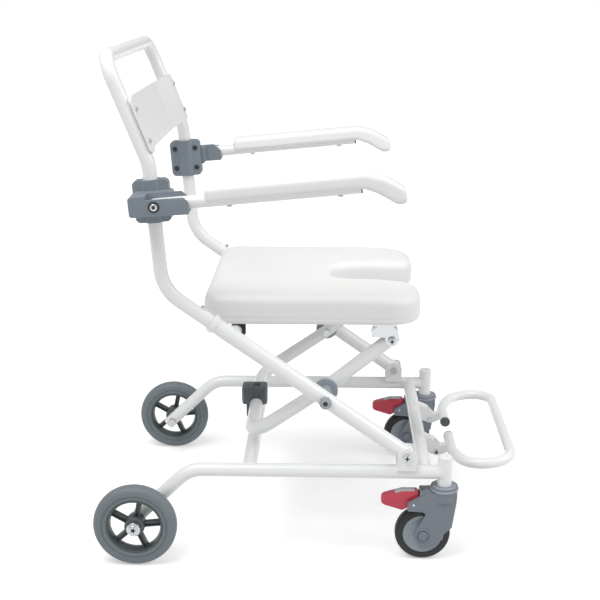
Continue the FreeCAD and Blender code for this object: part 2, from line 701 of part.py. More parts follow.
wheel_y = named("wheel_y", 266.0, "middle plane to each rear wheel")
tyre_width = named("tyre_width", 28.0, "rear tyre")
tyre_inner = named("tyre_inner", 102.0, "inside of the rear tyre")
tyre_shoulder = named("tyre_shoulder", 8.0, "rounded shoulder of the rear tyre")
rim_width = named("rim_width", 24.0, "rear rim at its outer ring")
rim_ring_inner = named("rim_ring_inner", 88.0, "inside of the rim's outer ring")
rim_web = named("rim_web", 9.0, "spoke plate of the rear rim")
rim_hub_diameter = named("rim_hub_diameter", 36.0, "hub of the rear rim")
rim_hub_width = named("rim_hub_width", 28.0, "hub of the rear rim")
bush_diameter = named("bush_diameter", 20.0, "bush in the rear hub")
bush_length = named("bush_length", 11.0, "bush in the rear hub")
window_inner = named("window_inner", 21.0, "axle to the inner edge of a rim window")
window_outer = named("window_outer", 42.0, "axle to the outer edge of a rim window")
window_inner_half = named("window_inner_half", 5.5, "half width of a window near the hub")
window_outer_half = named("window_outer_half", 18.5, "half width of a window near the ring")
window_round = named("window_round", 4.0, "corners of a rim window")
window_crown = named("window_crown", 2.0, "middle of a window's outer edge beyond its ends")
spoke_count = named("spoke_count", 5, "spokes of the rear rim")

tyre = new_body("tyre")
tyre_profile = new_sketch(tyre, "profile", "XY_Plane")
draw_outline(tyre_profile,
             [(tyre_inner / 2, -tyre_width / 2), (rear_wheel_diameter / 2, -tyre_width / 2),
              (rear_wheel_diameter / 2, tyre_width / 2), (tyre_inner / 2, tyre_width / 2)],
             [0, tyre_shoulder, tyre_shoulder, 0])
revolve(tyre, tyre_profile)
place(tyre, axle_x, -wheel_y, axle_height)
keep(tyre, "rear_tyre_right")
mirrored(tyre, "rear_tyre_left")

rim = new_body("rim")
rim_web_sketch = disc_sketch(rim, "web", "XZ_Plane", tyre_inner, -rim_web / 2)
pad(rim, rim_web_sketch, rim_web)
rim_window = new_sketch(rim, "window", "XZ_Plane", rim_web)
draw_outline(rim_window,
             [(-window_inner_half, window_inner), (window_inner_half, window_inner),
              (window_outer_half, window_outer - window_round), (ZERO, window_outer + window_crown),
              (-window_outer_half, window_outer - window_round)],
             [window_round, window_round, window_round, 0, window_round])
rim_window_cut = pocket(rim, rim_window, rim_web * 2)
rim_pattern = rim.newObject("PartDesign::PolarPattern", "rim_windows")
rim_pattern.Originals = [rim_window_cut]
rim_pattern.Axis = (rim_window, ["N_Axis"])
rim_pattern.Angle = FULL_TURN
bind(rim_pattern, "Occurrences", spoke_count)
rim.Tip = rim_pattern
doc.recompute()
rim_ring = ring_sketch(rim, "ring", "XZ_Plane", tyre_inner, rim_ring_inner, -rim_width / 2)
pad(rim, rim_ring, rim_width)
rim_hub = disc_sketch(rim, "hub", "XZ_Plane", rim_hub_diameter, -rim_hub_width / 2)
pad(rim, rim_hub, rim_hub_width)
rim_bore = disc_sketch(rim, "bore", "XZ_Plane", bush_diameter, rim_hub_width)
pocket(rim, rim_bore, rim_hub_width * 2)
place(rim, axle_x, -wheel_y, axle_height)
keep(rim, "rear_rim_right")
mirrored(rim, "rear_rim_left")

axle_bore = axle_diameter + running_clearance * 2
outer_bush = new_body("outer_bush")
pad(outer_bush, ring_sketch(outer_bush, "ring", "XZ_Plane", bush_diameter, axle_bore,
                            rim_hub_width / 2 - bush_length), bush_length)
place(outer_bush, axle_x, -wheel_y, axle_height)
inner_bush = new_body("inner_bush")
pad(inner_bush, ring_sketch(inner_bush, "ring", "XZ_Plane", bush_diameter, axle_bore,
                            -rim_hub_width / 2), bush_length)
place(inner_bush, axle_x, -wheel_y, axle_height)
group("rear_bushes_right", [outer_bush, inner_bush])
group("rear_bushes_left", [mirrored(outer_bush), mirrored(inner_bush)])

axle_head_diameter = named("axle_head_diameter", 24.0, "silver hub cap of the axle bolt")
axle_head_height = named("axle_head_height", 9.0, "silver hub cap of the axle bolt")
axle_side_play = named("axle_side_play", 0.6, "rear hub to cap and to spacer")
axle_nut = named("axle_nut", 19.0, "axle nut, corner to corner")
axle_nut_thickness = named("axle_nut_thickness", 8.0, "axle nut")
axle_spacer_diameter = named("axle_spacer_diameter", 19.0, "spacer between hub and tube")
hub_outer_y = wheel_y + rim_hub_width / 2
hub_inner_y = wheel_y - rim_hub_width / 2
tube_outer_y = side_offset + tube_diameter / 2
axle_core = pivot_bolt("axle_core", axle_x, axle_height, -hub_outer_y - axle_side_play,
                       -side_offset + tube_diameter / 2, axle_diameter, axle_head_diameter,
                       axle_head_height, axle_nut, axle_nut_thickness)
axle_spacer = rod("axle_spacer", axle_spacer_diameter, hub_inner_y - axle_side_play - tube_outer_y, "y",
                  axle_x, -hub_inner_y + axle_side_play, axle_height)
axle_bolt = fuse("axle_bolt", [axle_core, axle_spacer])
pair("rear_axle_bolts", axle_bolt)

# Casters: a kingpin, a moulded fork, a trailing wheel and a red brake pedal

caster_trail = named("caster_trail", 37.0, "kingpin to the caster axle")
caster_diameter = named("caster_diameter", 100.0, "caster wheel over the tread")
tread_inner = named("tread_inner", 72.0, "inside of the caster tread")
tread_width = named("tread_width", 24.0, "caster tread")
tread_shoulder = named("tread_shoulder", 5.0, "rounded shoulder of the caster tread")
caster_hub_width = named("caster_hub_width", 26.0, "caster hub at the axle")
caster_web = named("caster_web", 20.0, "caster hub disc")
caster_boss = named("caster_boss", 24.0, "raised boss of the caster hub")
caster_axle = named("caster_axle", 8.0, "caster axle bolt")
fork_boss_diameter = named("fork_boss_diameter", 48.0, "round head of the fork")
fork_boss_low = named("fork_boss_low", 116.0, "floor to the underside of the fork head")
fork_boss_gap = named("fork_boss_gap", 1.0, "fork head to stem tube")
fork_half = named("fork_half", 19.0, "middle of the fork to its outer face")
fork_cheek = named("fork_cheek", 5.0, "cheek of the fork")
fork_head_top = stem_low - fork_boss_gap
axle_z = caster_diameter / 2
fork_nose_x = named("fork_nose_x", 66.0, "kingpin back to the fork's nose")
fork_nose_low = named("fork_nose_low", 98.0, "floor to the nose's lower edge")
fork_nose_high = named("fork_nose_high", 112.0, "floor to the nose's upper edge")
fork_front_x = named("fork_front_x", 21.0, "kingpin to the front edge of the fork")
fork_knee_x = named("fork_knee_x", 12.0, "front edge of the fork leg at its foot")
fork_knee_z = named("fork_knee_z", 52.0, "floor to the front corner of the fork leg")
fork_eye = named("fork_eye", 18.0, "fork around the axle")
fork_throat_x = named("fork_throat_x", 30.0, "kingpin back to the leg's rear edge")
fork_throat_z = named("fork_throat_z", 96.0, "floor to the leg's rear corner")
fork_round = named("fork_round", 6.0, "corners of the fork cheeks")
fork_nose_round = named("fork_nose_round", 3.0, "small corners of the fork cheeks")
fork_roof_low = named("fork_roof_low", 106.0, "floor to the underside of the fork's roof")

fork = new_body("fork")
fork_cheeks = new_sketch(fork, "cheeks", "XZ_Plane", -fork_half)
draw_outline(fork_cheeks,
             [(-fork_nose_x, fork_nose_low), (-fork_throat_x, fork_throat_z),
              (-caster_trail - fork_eye, axle_z), (-caster_trail - fork_eye / 2, axle_z - fork_eye),
              (-caster_trail + fork_eye, axle_z - fork_eye), (fork_knee_x, fork_knee_z),
              (fork_front_x, fork_boss_low), (fork_front_x, fork_head_top - fork_cheek),
              (-fork_nose_x / 2, fork_head_top - fork_cheek * 2), (-fork_nose_x, fork_nose_high)],
             [fork_nose_round, fork_round, fork_round, fork_round, fork_round, fork_round,
              fork_round, fork_nose_round, fork_nose_round, fork_nose_round])
pad(fork, fork_cheeks, fork_half * 2)
fork_slot = new_sketch(fork, "slot", "YZ_Plane", fork_nose_x * 2)
rectangle(fork_slot, fork_cheek - fork_half, ZERO, fork_half - fork_cheek, fork_roof_low)
pocket(fork, fork_slot, fork_nose_x * 4)
fork_head = disc_sketch(fork, "head", "XY_Plane", fork_boss_diameter, fork_boss_low)
pad(fork, fork_head, fork_head_top - fork_boss_low)
fork_pin_hole = disc_sketch(fork, "pin_hole", "XY_Plane", kingpin_diameter, fork_head_top + fork_cheek)
pocket(fork, fork_pin_hole, fork_boss_diameter)
fork_axle_hole = disc_sketch(fork, "axle_hole", "XZ_Plane", caster_axle, fork_half * 2,
                             -caster_trail, axle_z)
pocket(fork, fork_axle_hole, fork_half * 4)
pedal_slot_x = named("pedal_slot_x", 44.0, "kingpin back to the front of the pedal slot")
pedal_half = named("pedal_half", 10.0, "middle of the pedal to its side")
pedal_gap = named("pedal_gap", 0.6, "pedal to fork")
pedal_slot = new_sketch(fork, "pedal_slot", "XZ_Plane", pedal_half + pedal_gap)
draw_outline(pedal_slot,
             [(-fork_nose_x * 2, ZERO), (-pedal_slot_x, ZERO), (-pedal_slot_x, fork_head_top),
              (-fork_nose_x * 2, fork_head_top)])
pocket(fork, pedal_slot, pedal_half * 2 + pedal_gap * 2)
pedal_pin = named("pedal_pin", 4.0, "hinge pin of the brake pedal")
pedal_pin_x = named("pedal_pin_x", 55.0, "kingpin back to the pedal hinge")
pedal_pin_z = named("pedal_pin_z", 110.0, "floor to the pedal hinge")
pedal_pin_hole = disc_sketch(fork, "pedal_pin_hole", "XZ_Plane", pedal_pin, fork_half * 2,
                             -pedal_pin_x, pedal_pin_z)
pocket(fork, pedal_pin_hole, fork_half * 4)
place(fork, stem_x, -side_offset, ZERO)
keep(fork, "caster_fork_right")
mirrored(fork, "caster_fork_left")

kingpin_low = named("kingpin_low", 108.0, "floor to the kingpin's foot")
kingpin = rod("kingpin", kingpin_diameter, upper_bush_low + stem_bush_height - kingpin_low, "z",
              stem_x, -side_offset, kingpin_low)
caster_axle_head = named("caster_axle_head", 13.0, "caster axle bolt head")
caster_axle_head_height = named("caster_axle_head_height", 3.0, "caster axle bolt head")
caster_axle_bolt = pivot_bolt("caster_axle_bolt", stem_x - caster_trail, axle_z, -side_offset - fork_half,
                              -side_offset + fork_half, caster_axle, caster_axle_head,
                              caster_axle_head_height, caster_axle_head, caster_axle_head_height)
pedal_hinge_pin = rod("pedal_hinge_pin", pedal_pin, fork_half * 2, "y", stem_x - pedal_pin_x,
                      -side_offset - fork_half, pedal_pin_z)
group("caster_pins_right", [kingpin, caster_axle_bolt, pedal_hinge_pin])
group("caster_pins_left", [mirrored(kingpin), mirrored(caster_axle_bolt), mirrored(pedal_hinge_pin)])

tread = new_body("tread")
tread_profile = new_sketch(tread, "profile", "XY_Plane")
draw_outline(tread_profile,
             [(tread_inner / 2, -tread_width / 2), (caster_diameter / 2, -tread_width / 2),
              (caster_diameter / 2, tread_width / 2), (tread_inner / 2, tread_width / 2)],
             [0, tread_shoulder, tread_shoulder, 0])
revolve(tread, tread_profile)
place(tread, stem_x - caster_trail, -side_offset, axle_z)
keep(tread, "caster_tread_right")
mirrored(tread, "caster_tread_left")

caster_hub = new_body("caster_hub")
hub_profile = new_sketch(caster_hub, "profile", "XY_Plane")
hub_bore = caster_axle / 2 + running_clearance
draw_outline(hub_profile,
             [(hub_bore, -caster_hub_width / 2), (caster_boss / 2, -caster_hub_width / 2),
              (caster_boss / 2, -caster_web / 2), (tread_inner / 2, -caster_web / 2),
              (tread_inner / 2, caster_web / 2), (caster_boss / 2, caster_web / 2),
              (caster_boss / 2, caster_hub_width / 2), (hub_bore, caster_hub_width / 2)])
revolve(caster_hub, hub_profile)
place(caster_hub, stem_x - caster_trail, -side_offset, axle_z)
keep(caster_hub, "caster_hub_right")
mirrored(caster_hub, "caster_hub_left")

pedal_tip_x = named("pedal_tip_x", 58.0, "pedal hinge back to the pedal's tip")
pedal_tip_high = named("pedal_tip_high", 11.0, "pedal tip above the hinge")
pedal_tip_low = named("pedal_tip_low", 2.0, "pedal tip below the hinge")
pedal_heel_x = named("pedal_heel_x", 9.0, "pedal hinge to the pedal's front")
pedal_heel_high = named("pedal_heel_high", 22.0, "pedal's crown above the hinge")
pedal_heel_low = named("pedal_heel_low", 8.0, "pedal's front below the hinge")
pedal_chin_x = named("pedal_chin_x", 8.0, "pedal hinge back to the pedal's lower front bend")
pedal_chin_low = named("pedal_chin_low", 4.0, "pedal's front corner below the hinge")
pedal_chin_round = named("pedal_chin_round", 2.0, "pedal's front corner")
pedal_shoe_x = named("pedal_shoe_x", 20.0, "pedal hinge back to the brake shoe")
pedal_shoe_low = named("pedal_shoe_low", 14.0, "brake shoe below the hinge")
pedal_round = named("pedal_round", 5.0, "corners of the pedal")
pedal_nose_round = named("pedal_nose_round", 8.5, "rounded tip of the pedal, seen from above")
pedal = new_body("pedal")
pedal_face = new_sketch(pedal, "face", "XZ_Plane", -pedal_half)
draw_outline(pedal_face,
             [(-pedal_tip_x, -pedal_tip_low), (-pedal_shoe_x, -pedal_shoe_low),
              (-pedal_chin_x, -pedal_heel_low), (pedal_heel_x, -pedal_chin_low),
              (pedal_heel_x, pedal_heel_high), (-pedal_shoe_x, pedal_heel_high),
              (-pedal_tip_x, pedal_tip_high)],
             [pedal_round, 0, 0, pedal_chin_round, pedal_round, pedal_round, pedal_round])
pad(pedal, pedal_face, pedal_half * 2)
pedal_hole = disc_sketch(pedal, "hole", "XZ_Plane", pedal_pin + running_clearance * 2, pedal_half * 2)
pocket(pedal, pedal_hole, pedal_half * 4)
pedal_nose = new_body("pedal_nose")
nose_plan = new_sketch(pedal_nose, "plan", "XY_Plane", -pedal_tip_x)
draw_outline(nose_plan,
             [(-pedal_tip_x, -pedal_half), (pedal_heel_x, -pedal_half), (pedal_heel_x, pedal_half),
              (-pedal_tip_x, pedal_half)],
             [pedal_nose_round, 0, 0, pedal_nose_round])
pad(pedal_nose, nose_plan, pedal_tip_x * 2)
pedal_shape = common("pedal_shape", pedal, pedal_nose)
place(pedal_shape, stem_x - pedal_pin_x, -side_offset, pedal_pin_z)
keep(pedal_shape, "brake_pedal_right")
mirrored(pedal_shape, "brake_pedal_left")

# Lower legs: sleeves that rise rearward from the fold brackets past the crossing bolts

leg_angle = named("leg_angle", 35.2, "rise of the lower legs")
leg_length = named("leg_length", 420.0, "pivot to the upper end of the lower leg")
leg_collar_diameter = named("leg_collar_diameter", 33.0, "ring at the upper end of the lower leg")
leg_collar_length = named("leg_collar_length", 10.0, "ring at the upper end of the lower leg")
leg_eye_width = named("leg_eye_width", 26.0, "closed end of the lower leg at its pivot")
cross_reach = named("cross_reach", 177.0, "fold pivot to the crossing bolt along the leg")
cross_x = fold_x - cross_reach * cosine(leg_angle)
cross_z = fold_z + cross_reach * sine(leg_angle)
leg_turn = leg_angle - QUARTER_TURN

leg = new_body("leg")
leg_ring = ring_sketch(leg, "tube", "XY_Plane", leg_diameter, leg_bore)
pad(leg, leg_ring, leg_length)
leg_collar = ring_sketch(leg, "collar", "XY_Plane", leg_collar_diameter, leg_bore,
                         leg_length - leg_collar_length)
pad(leg, leg_collar, leg_collar_length)
leg_eye = disc_sketch(leg, "eye", "XZ_Plane", leg_diameter, -leg_eye_width / 2)
pad(leg, leg_eye, leg_eye_width)
leg_fold_hole = disc_sketch(leg, "fold_hole", "XZ_Plane", pin_hole, leg_diameter)
pocket(leg, leg_fold_hole, leg_diameter * 2)
leg_cross_hole = disc_sketch(leg, "cross_hole", "XZ_Plane", pin_diameter, leg_diameter, ZERO, cross_reach)
pocket(leg, leg_cross_hole, leg_diameter * 2)
place(leg, fold_x, -side_offset, fold_z, leg_turn)
keep(leg, "lower_leg_right")
mirrored(leg, "lower_leg_left")

rest_diameter = named("rest_diameter", 22.0, "tube under the rear of the seat")
rest_bore = named("rest_bore", 18.0, "inside of the tube under the seat")
rest_reach = named("rest_reach", 372.0, "fold pivot to the seat rest along the leg")
rest_x = fold_x - rest_reach * cosine(leg_angle)
rest_z = fold_z + rest_reach * sine(leg_angle)
crossbar("seat_rest_tube", rest_x, rest_z, rest_diameter, rest_bore, leg_diameter, leg_angle)

# Crossing bolts, their spacers and ribbed caps

inner_offset = named("inner_offset", 170.0, "middle plane to each leg of the seat frame")
spacer_diameter = named("spacer_diameter", 24.0, "spacer between the crossing tubes")
spacer_flange = named("spacer_flange", 44.0, "round flange of the spacer")
spacer_flange_width = named("spacer_flange_width", 6.0, "round flange of the spacer")
spacer_play = named("spacer_play", 0.5, "spacer flange to the seat frame tube")
cap_diameter = named("cap_diameter", 22.0, "ribbed cap on the crossing bolt")
cap_height = named("cap_height", 9.0, "ribbed cap on the crossing bolt")
cap_rib = named("cap_rib", 2.2, "rib of the cap")
cap_rib_count = named("cap_rib_count", 12, "ribs around the cap")
leg_outer_y = side_offset + leg_diameter / 2
leg_inner_y = side_offset - leg_diameter / 2
frame_outer_y = inner_offset + tube_diameter / 2
frame_inner_y = inner_offset - tube_diameter / 2

spacer = new_body("spacer")
spacer_stalk = ring_sketch(spacer, "stalk", "XZ_Plane", spacer_diameter, pin_diameter, spacer_flange_width)
pad(spacer, spacer_stalk, leg_inner_y - frame_outer_y - spacer_play - spacer_flange_width)
spacer_disc = ring_sketch(spacer, "flange", "XZ_Plane", spacer_flange, pin_diameter)
pad(spacer, spacer_disc, spacer_flange_width)
place(spacer, cross_x, -frame_outer_y - spacer_play, cross_z)
pair("cross_spacers", spacer)

cross_nut_gap = named("cross_nut_gap", 0.5, "crossing nut to the seat frame tube")
cross_bolt = pivot_bolt("cross_bolt", cross_x, cross_z, -leg_outer_y, -frame_inner_y + cross_nut_gap,
                        pin_diameter, bolt_head_diameter, bolt_head_height, nut_across_corners,
                        nut_thickness)
pair("cross_bolts", cross_bolt)

cap = new_body("cap")
cap_wall = disc_sketch(cap, "wall", "XZ_Plane", cap_diameter - cap_rib)
pad(cap, cap_wall, cap_height)
cap_rib_sketch = disc_sketch(cap, "rib", "XZ_Plane", cap_rib, ZERO, cap_diameter / 2 - cap_rib / 2, ZERO)
cap_rib_pad = pad(cap, cap_rib_sketch, cap_height - cap_rib / 2)
cap_pattern = cap.newObject("PartDesign::PolarPattern", "cap_ribs")
cap_pattern.Originals = [cap_rib_pad]
cap_pattern.Axis = (cap_rib_sketch, ["N_Axis"])
cap_pattern.Angle = FULL_TURN
bind(cap_pattern, "Occurrences", cap_rib_count)
cap.Tip = cap_pattern
cap_hollow = disc_sketch(cap, "hollow", "XZ_Plane", bolt_head_diameter, bolt_head_height)
pocket(cap, cap_hollow, bolt_head_height)
place(cap, cross_x, -leg_outer_y, cross_z)
pair("cross_bolt_caps", cap)

# Seat frame: one U-shaped tube, bolted between the lower legs, whose closed end lies over the
# rear crossbar and whose open ends carry the front of the seat

frame_low_angle = named("frame_low_angle", 34.5, "rise of the seat frame below the crossing")
frame_high_angle = named("frame_high_angle", 39.0, "rise of the seat frame above the crossing")
frame_bend_radius = named("frame_bend_radius", 200.0, "slight bend at the crossing")
frame_corner_radius = named("frame_corner_radius", 45.0, "corner of the closed end")
seat_pivot_x = named("seat_pivot_x", 146.0, "seat pivot")
frame_tip = named("frame_tip", 9.0, "tube past the seat pivot")
ubar_x = rear_bar_x
ubar_z = cross_z - (cross_x - ubar_x) * tangent(frame_low_angle)
seat_pivot_z = cross_z + (seat_pivot_x - cross_x) * tangent(frame_high_angle)
tip_x = seat_pivot_x + frame_tip * cosine(frame_high_angle)
tip_z = seat_pivot_z + frame_tip * sine(frame_high_angle)
seat_bolt_diameter = named("seat_bolt_diameter", 8.0, "seat pivot bolt")
frame_path = [(tip_x, -inner_offset, tip_z), (cross_x, -inner_offset, cross_z),
              (ubar_x, -inner_offset, ubar_z), (ubar_x, inner_offset, ubar_z),
              (cross_x, inner_offset, cross_z), (tip_x, inner_offset, tip_z)]
frame_radii = [frame_bend_radius, frame_corner_radius, frame_corner_radius, frame_bend_radius]
frame_holes = []
for side in (-inner_offset, inner_offset):
    frame_holes.append((pin_hole, vector(cross_x, side - tube_diameter, cross_z), Y_AXIS,
                        tube_diameter * 2))
    frame_holes.append((seat_bolt_diameter, vector(seat_pivot_x, side - tube_diameter, seat_pivot_z),
                        Y_AXIS, tube_diameter * 2))
bent_tube("seat_frame_tube", frame_path, frame_radii, tube_diameter, tube_bore, frame_holes)

# Latch: a body clipped over the closed end, and a sliding catch that grips it from behind and
# rests its toe on the rear crossbar

latch_half_width = named("latch_half_width", 17.0, "latch across the chair, half")
latch_front = named("latch_front", 21.0, "latch body ahead of the closed end's centre")
latch_split = named("latch_split", 5.0, "closed end's centre back to the face between body and catch")
latch_top = named("latch_top", 36.0, "latch above the closed end's centre")
latch_bottom = named("latch_bottom", 0.5, "latch below the closed end's centre")
latch_round = named("latch_round", 8.0, "upright corners of the latch")
latch_edge = named("latch_edge", 3.0, "upper edge of the latch")
catch_back = named("catch_back", 28.0, "closed end's centre back to the thumb face")
catch_gap = named("catch_gap", 0.4, "catch to the latch body")
catch_half_width = named("catch_half_width", 8.0, "leg and toe of the catch, half")
catch_leg_outer = named("catch_leg_outer", 20.0, "closed end's centre back to the leg's rear")
catch_leg_inner = named("catch_leg_inner", 14.0, "closed end's centre back to the leg's front")
catch_toe_front = named("catch_toe_front", 3.0, "toe ahead of the closed end's centre")
catch_toe_gap = named("catch_toe_gap", 1.0, "toe to the rear crossbar")
catch_round = named("catch_round", 1.5, "corners of the leg and toe")
tube_radius = tube_diameter / 2

latch = new_body("latch")
latch_plan = new_sketch(latch, "plan", "XY_Plane", -latch_bottom)
draw_outline(latch_plan,
             [(-latch_split, -latch_half_width), (latch_front, -latch_half_width),
              (latch_front, latch_half_width), (-latch_split, latch_half_width)],
             [0, latch_round, latch_round, 0])
pad(latch, latch_plan, latch_top + latch_bottom)
round_edges(latch, latch_edge,
            lambda edge: edge.BoundBox.ZMin > latch_top.value - NEAR_ENOUGH
            and edge.BoundBox.XMax > -latch_split.value + NEAR_ENOUGH)
latch_grip = disc_sketch(latch, "grip", "XZ_Plane", tube_diameter, latch_half_width * 2)
pocket(latch, latch_grip, latch_half_width * 4)
latch_mouth = new_sketch(latch, "mouth", "XZ_Plane", latch_half_width * 2)
rectangle(latch_mouth, -tube_radius, -latch_bottom * 2, tube_radius, ZERO)
pocket(latch, latch_mouth, latch_half_width * 4)
place(latch, ubar_x, ZERO, ubar_z)
keep(latch, "latch_body")

toe_low = base_height + tube_radius + catch_toe_gap - ubar_z
catch = new_body("catch")
catch_plan = new_sketch(catch, "thumb", "XY_Plane", -latch_bottom)
draw_outline(catch_plan,
             [(-catch_back, -latch_half_width), (-latch_split - catch_gap, -latch_half_width),
              (-latch_split - catch_gap, latch_half_width), (-catch_back, latch_half_width)],
             [latch_round, 0, 0, latch_round])
pad(catch, catch_plan, latch_top + latch_bottom)
round_edges(catch, latch_edge,
            lambda edge: edge.BoundBox.ZMin > latch_top.value - NEAR_ENOUGH
            and edge.BoundBox.XMin < -latch_split.value - catch_gap.value - NEAR_ENOUGH)
catch_hollow = disc_sketch(catch, "hollow", "XZ_Plane", tube_diameter + catch_gap * 2, latch_half_width * 2)
pocket(catch, catch_hollow, latch_half_width * 4)
catch_leg = new_sketch(catch, "leg", "XZ_Plane", -catch_half_width)
draw_outline(catch_leg,
             [(-catch_leg_outer, ZERO), (-catch_leg_outer, toe_low), (catch_toe_front, toe_low),
              (catch_toe_front, -catch_leg_inner), (-catch_leg_inner, -catch_leg_inner),
              (-catch_leg_inner, ZERO)],
             [0, catch_round, catch_round, catch_round, catch_round, 0])
pad(catch, catch_leg, catch_half_width * 2)
place(catch, ubar_x, ZERO, ubar_z)
keep(catch, "latch_catch")

# Seat: a thick moulded pad with a slot open to the front

seat_low = named("seat_low", 428.0, "floor to the seat's underside")
seat_high = named("seat_high", 481.0, "floor to the seat's upper face")
seat_rear_x = named("seat_rear_x", -188.0, "seat's rear edge")
seat_front_x = named("seat_front_x", 198.0, "seat's front edge")
seat_half_width = named("seat_half_width", 200.0, "middle plane to the seat's side")
seat_rear_corner = named("seat_rear_corner", 38.0, "rear corners of the seat")
seat_front_corner = named("seat_front_corner", 55.0, "outer front corners of the seat")
seat_arm_corner = named("seat_arm_corner", 40.0, "inner front corners of the seat")
slot_rear_x = named("slot_rear_x", 42.0, "rear end of the slot")
slot_half_front = named("slot_half_front", 63.0, "middle plane to the slot's side at the front")
slot_half_rear = named("slot_half_rear", 50.0, "middle plane to the slot's side at the rear")
slot_corner = named("slot_corner", 45.0, "rear corners of the slot")
seat_top_round = named("seat_top_round", 16.0, "upper edge of the seat")
seat_low_round = named("seat_low_round", 6.0, "lower edge of the seat")

seat = new_body("seat")
seat_plan = new_sketch(seat, "plan", "XY_Plane")
draw_outline(seat_plan,
             [(seat_rear_x, -seat_half_width), (seat_front_x, -seat_half_width),
              (seat_front_x, -slot_half_front), (slot_rear_x, -slot_half_rear),
              (slot_rear_x, slot_half_rear), (seat_front_x, slot_half_front),
              (seat_front_x, seat_half_width), (seat_rear_x, seat_half_width)],
             [seat_rear_corner, seat_front_corner, seat_arm_corner, slot_corner, slot_corner,
              seat_arm_corner, seat_front_corner, seat_rear_corner])
pad(seat, seat_plan, seat_high - seat_low)
seat_thickness = seat_high - seat_low
round_edges(seat, seat_top_round,
            lambda edge: edge.BoundBox.ZMin > seat_thickness.value - NEAR_ENOUGH)
round_edges(seat, seat_low_round,
            lambda edge: edge.BoundBox.ZMax < NEAR_ENOUGH)
place(seat, ZERO, ZERO, seat_low)
keep(seat, "seat_pad")

seat_bracket_radius = named("seat_bracket_radius", 21.0, "half-moon cheek under the seat")
seat_bracket_back = named("seat_bracket_back", 12.0, "half-moon set behind the pivot")
seat_bracket_eye = named("seat_bracket_eye", 11.0, "cheek around the seat pivot")
seat_bracket_gap = named("seat_bracket_gap", 0.5, "seat frame tube to cheek")
seat_web = named("seat_web", 4.0, "plate against the seat's underside")
cheek_base = named("cheek_base", 6.0, "seat pivot to the flat edge of the half-moon")
seat_bracket_half = tube_diameter / 2 + seat_bracket_gap + bracket_plate
web_rise = seat_low - seat_pivot_z

moon = rod("moon", (web_rise - cheek_base) * 2, seat_bracket_half * 2, "y", -seat_bracket_back,
           -seat_bracket_half, cheek_base)
moon_half = block("moon_half", seat_bracket_radius * 4, seat_bracket_half * 2, web_rise - cheek_base,
                  -seat_bracket_radius * 2 - seat_bracket_back, -seat_bracket_half, cheek_base)
moon_cheek = common("moon_cheek", moon, moon_half)
eye_cheek = rod("eye_cheek", seat_bracket_eye * 2, seat_bracket_half * 2, "y", ZERO,
                -seat_bracket_half, ZERO)
eye_link = block("eye_link", seat_bracket_eye + seat_bracket_back, seat_bracket_half * 2,
                 cheek_base * 2, -seat_bracket_back, -seat_bracket_half, ZERO)
top_plate = block("top_plate", seat_bracket_radius * 2, seat_bracket_half * 2, seat_web,
                  -seat_bracket_radius - seat_bracket_back, -seat_bracket_half, web_rise - seat_web)
cheek_mass = fuse("cheek_mass", [moon_cheek, eye_cheek, eye_link, top_plate])
cheek_gap = block("cheek_gap", seat_bracket_radius * 8, tube_diameter + seat_bracket_gap * 2,
                  web_rise - seat_web + seat_bracket_eye * 2, -seat_bracket_radius * 4,
                  -tube_diameter / 2 - seat_bracket_gap, -seat_bracket_eye * 2)
cheek_hole = rod("cheek_hole", seat_bolt_diameter + running_clearance * 2, seat_bracket_half * 4, "y",
                 ZERO, -seat_bracket_half * 2, ZERO)
seat_bracket = cut("seat_bracket", cheek_mass, [cheek_gap, cheek_hole])
place(seat_bracket, seat_pivot_x, -inner_offset, seat_pivot_z)
pair("seat_brackets", seat_bracket)

seat_bolt_play = named("seat_bolt_play", 0.4, "seat pivot bolt head to the cheek")
seat_bolt = pivot_bolt("seat_bolt", seat_pivot_x, seat_pivot_z,
                       -inner_offset - seat_bracket_half - seat_bolt_play,
                       -inner_offset + seat_bracket_half + seat_bolt_play, seat_bolt_diameter,
                       bolt_head_diameter, bolt_head_height, nut_across_corners, nut_thickness)
pair("seat_pivot_bolts", seat_bolt)

clip_y = named("clip_y", 182.0, "middle plane to each seat clip")
clip_width = named("clip_width", 16.0, "seat clip across the chair")
clip_front = named("clip_front", 17.0, "seat rest to the front of the clip")
clip_back = named("clip_back", 6.0, "seat rest to the back of the clip")
clip_drop = named("clip_drop", 20.0, "clip below the seat's underside")
clip_play = named("clip_play", 0.4, "clip to the seat rest tube")
clip_block = block("clip_block", clip_front + clip_back, clip_width, clip_drop,
                   rest_x - clip_back, -clip_y - clip_width / 2, seat_low - clip_drop)
clip_bed = rod("clip_bed", rest_diameter + clip_play * 2, clip_width * 2, "y",
               rest_x, -clip_y - clip_width, rest_z)
clip_rear = block("clip_rear", clip_back * 4, clip_width * 2, clip_drop * 2, rest_x - clip_back * 4,
                  -clip_y - clip_width, rest_z - clip_drop * 2)
seat_clip = cut("seat_clip", clip_block, [clip_bed, clip_rear])
pair("seat_clips", seat_clip)

# Back frame: one tube from sleeve to sleeve that forms the uprights and the push bar

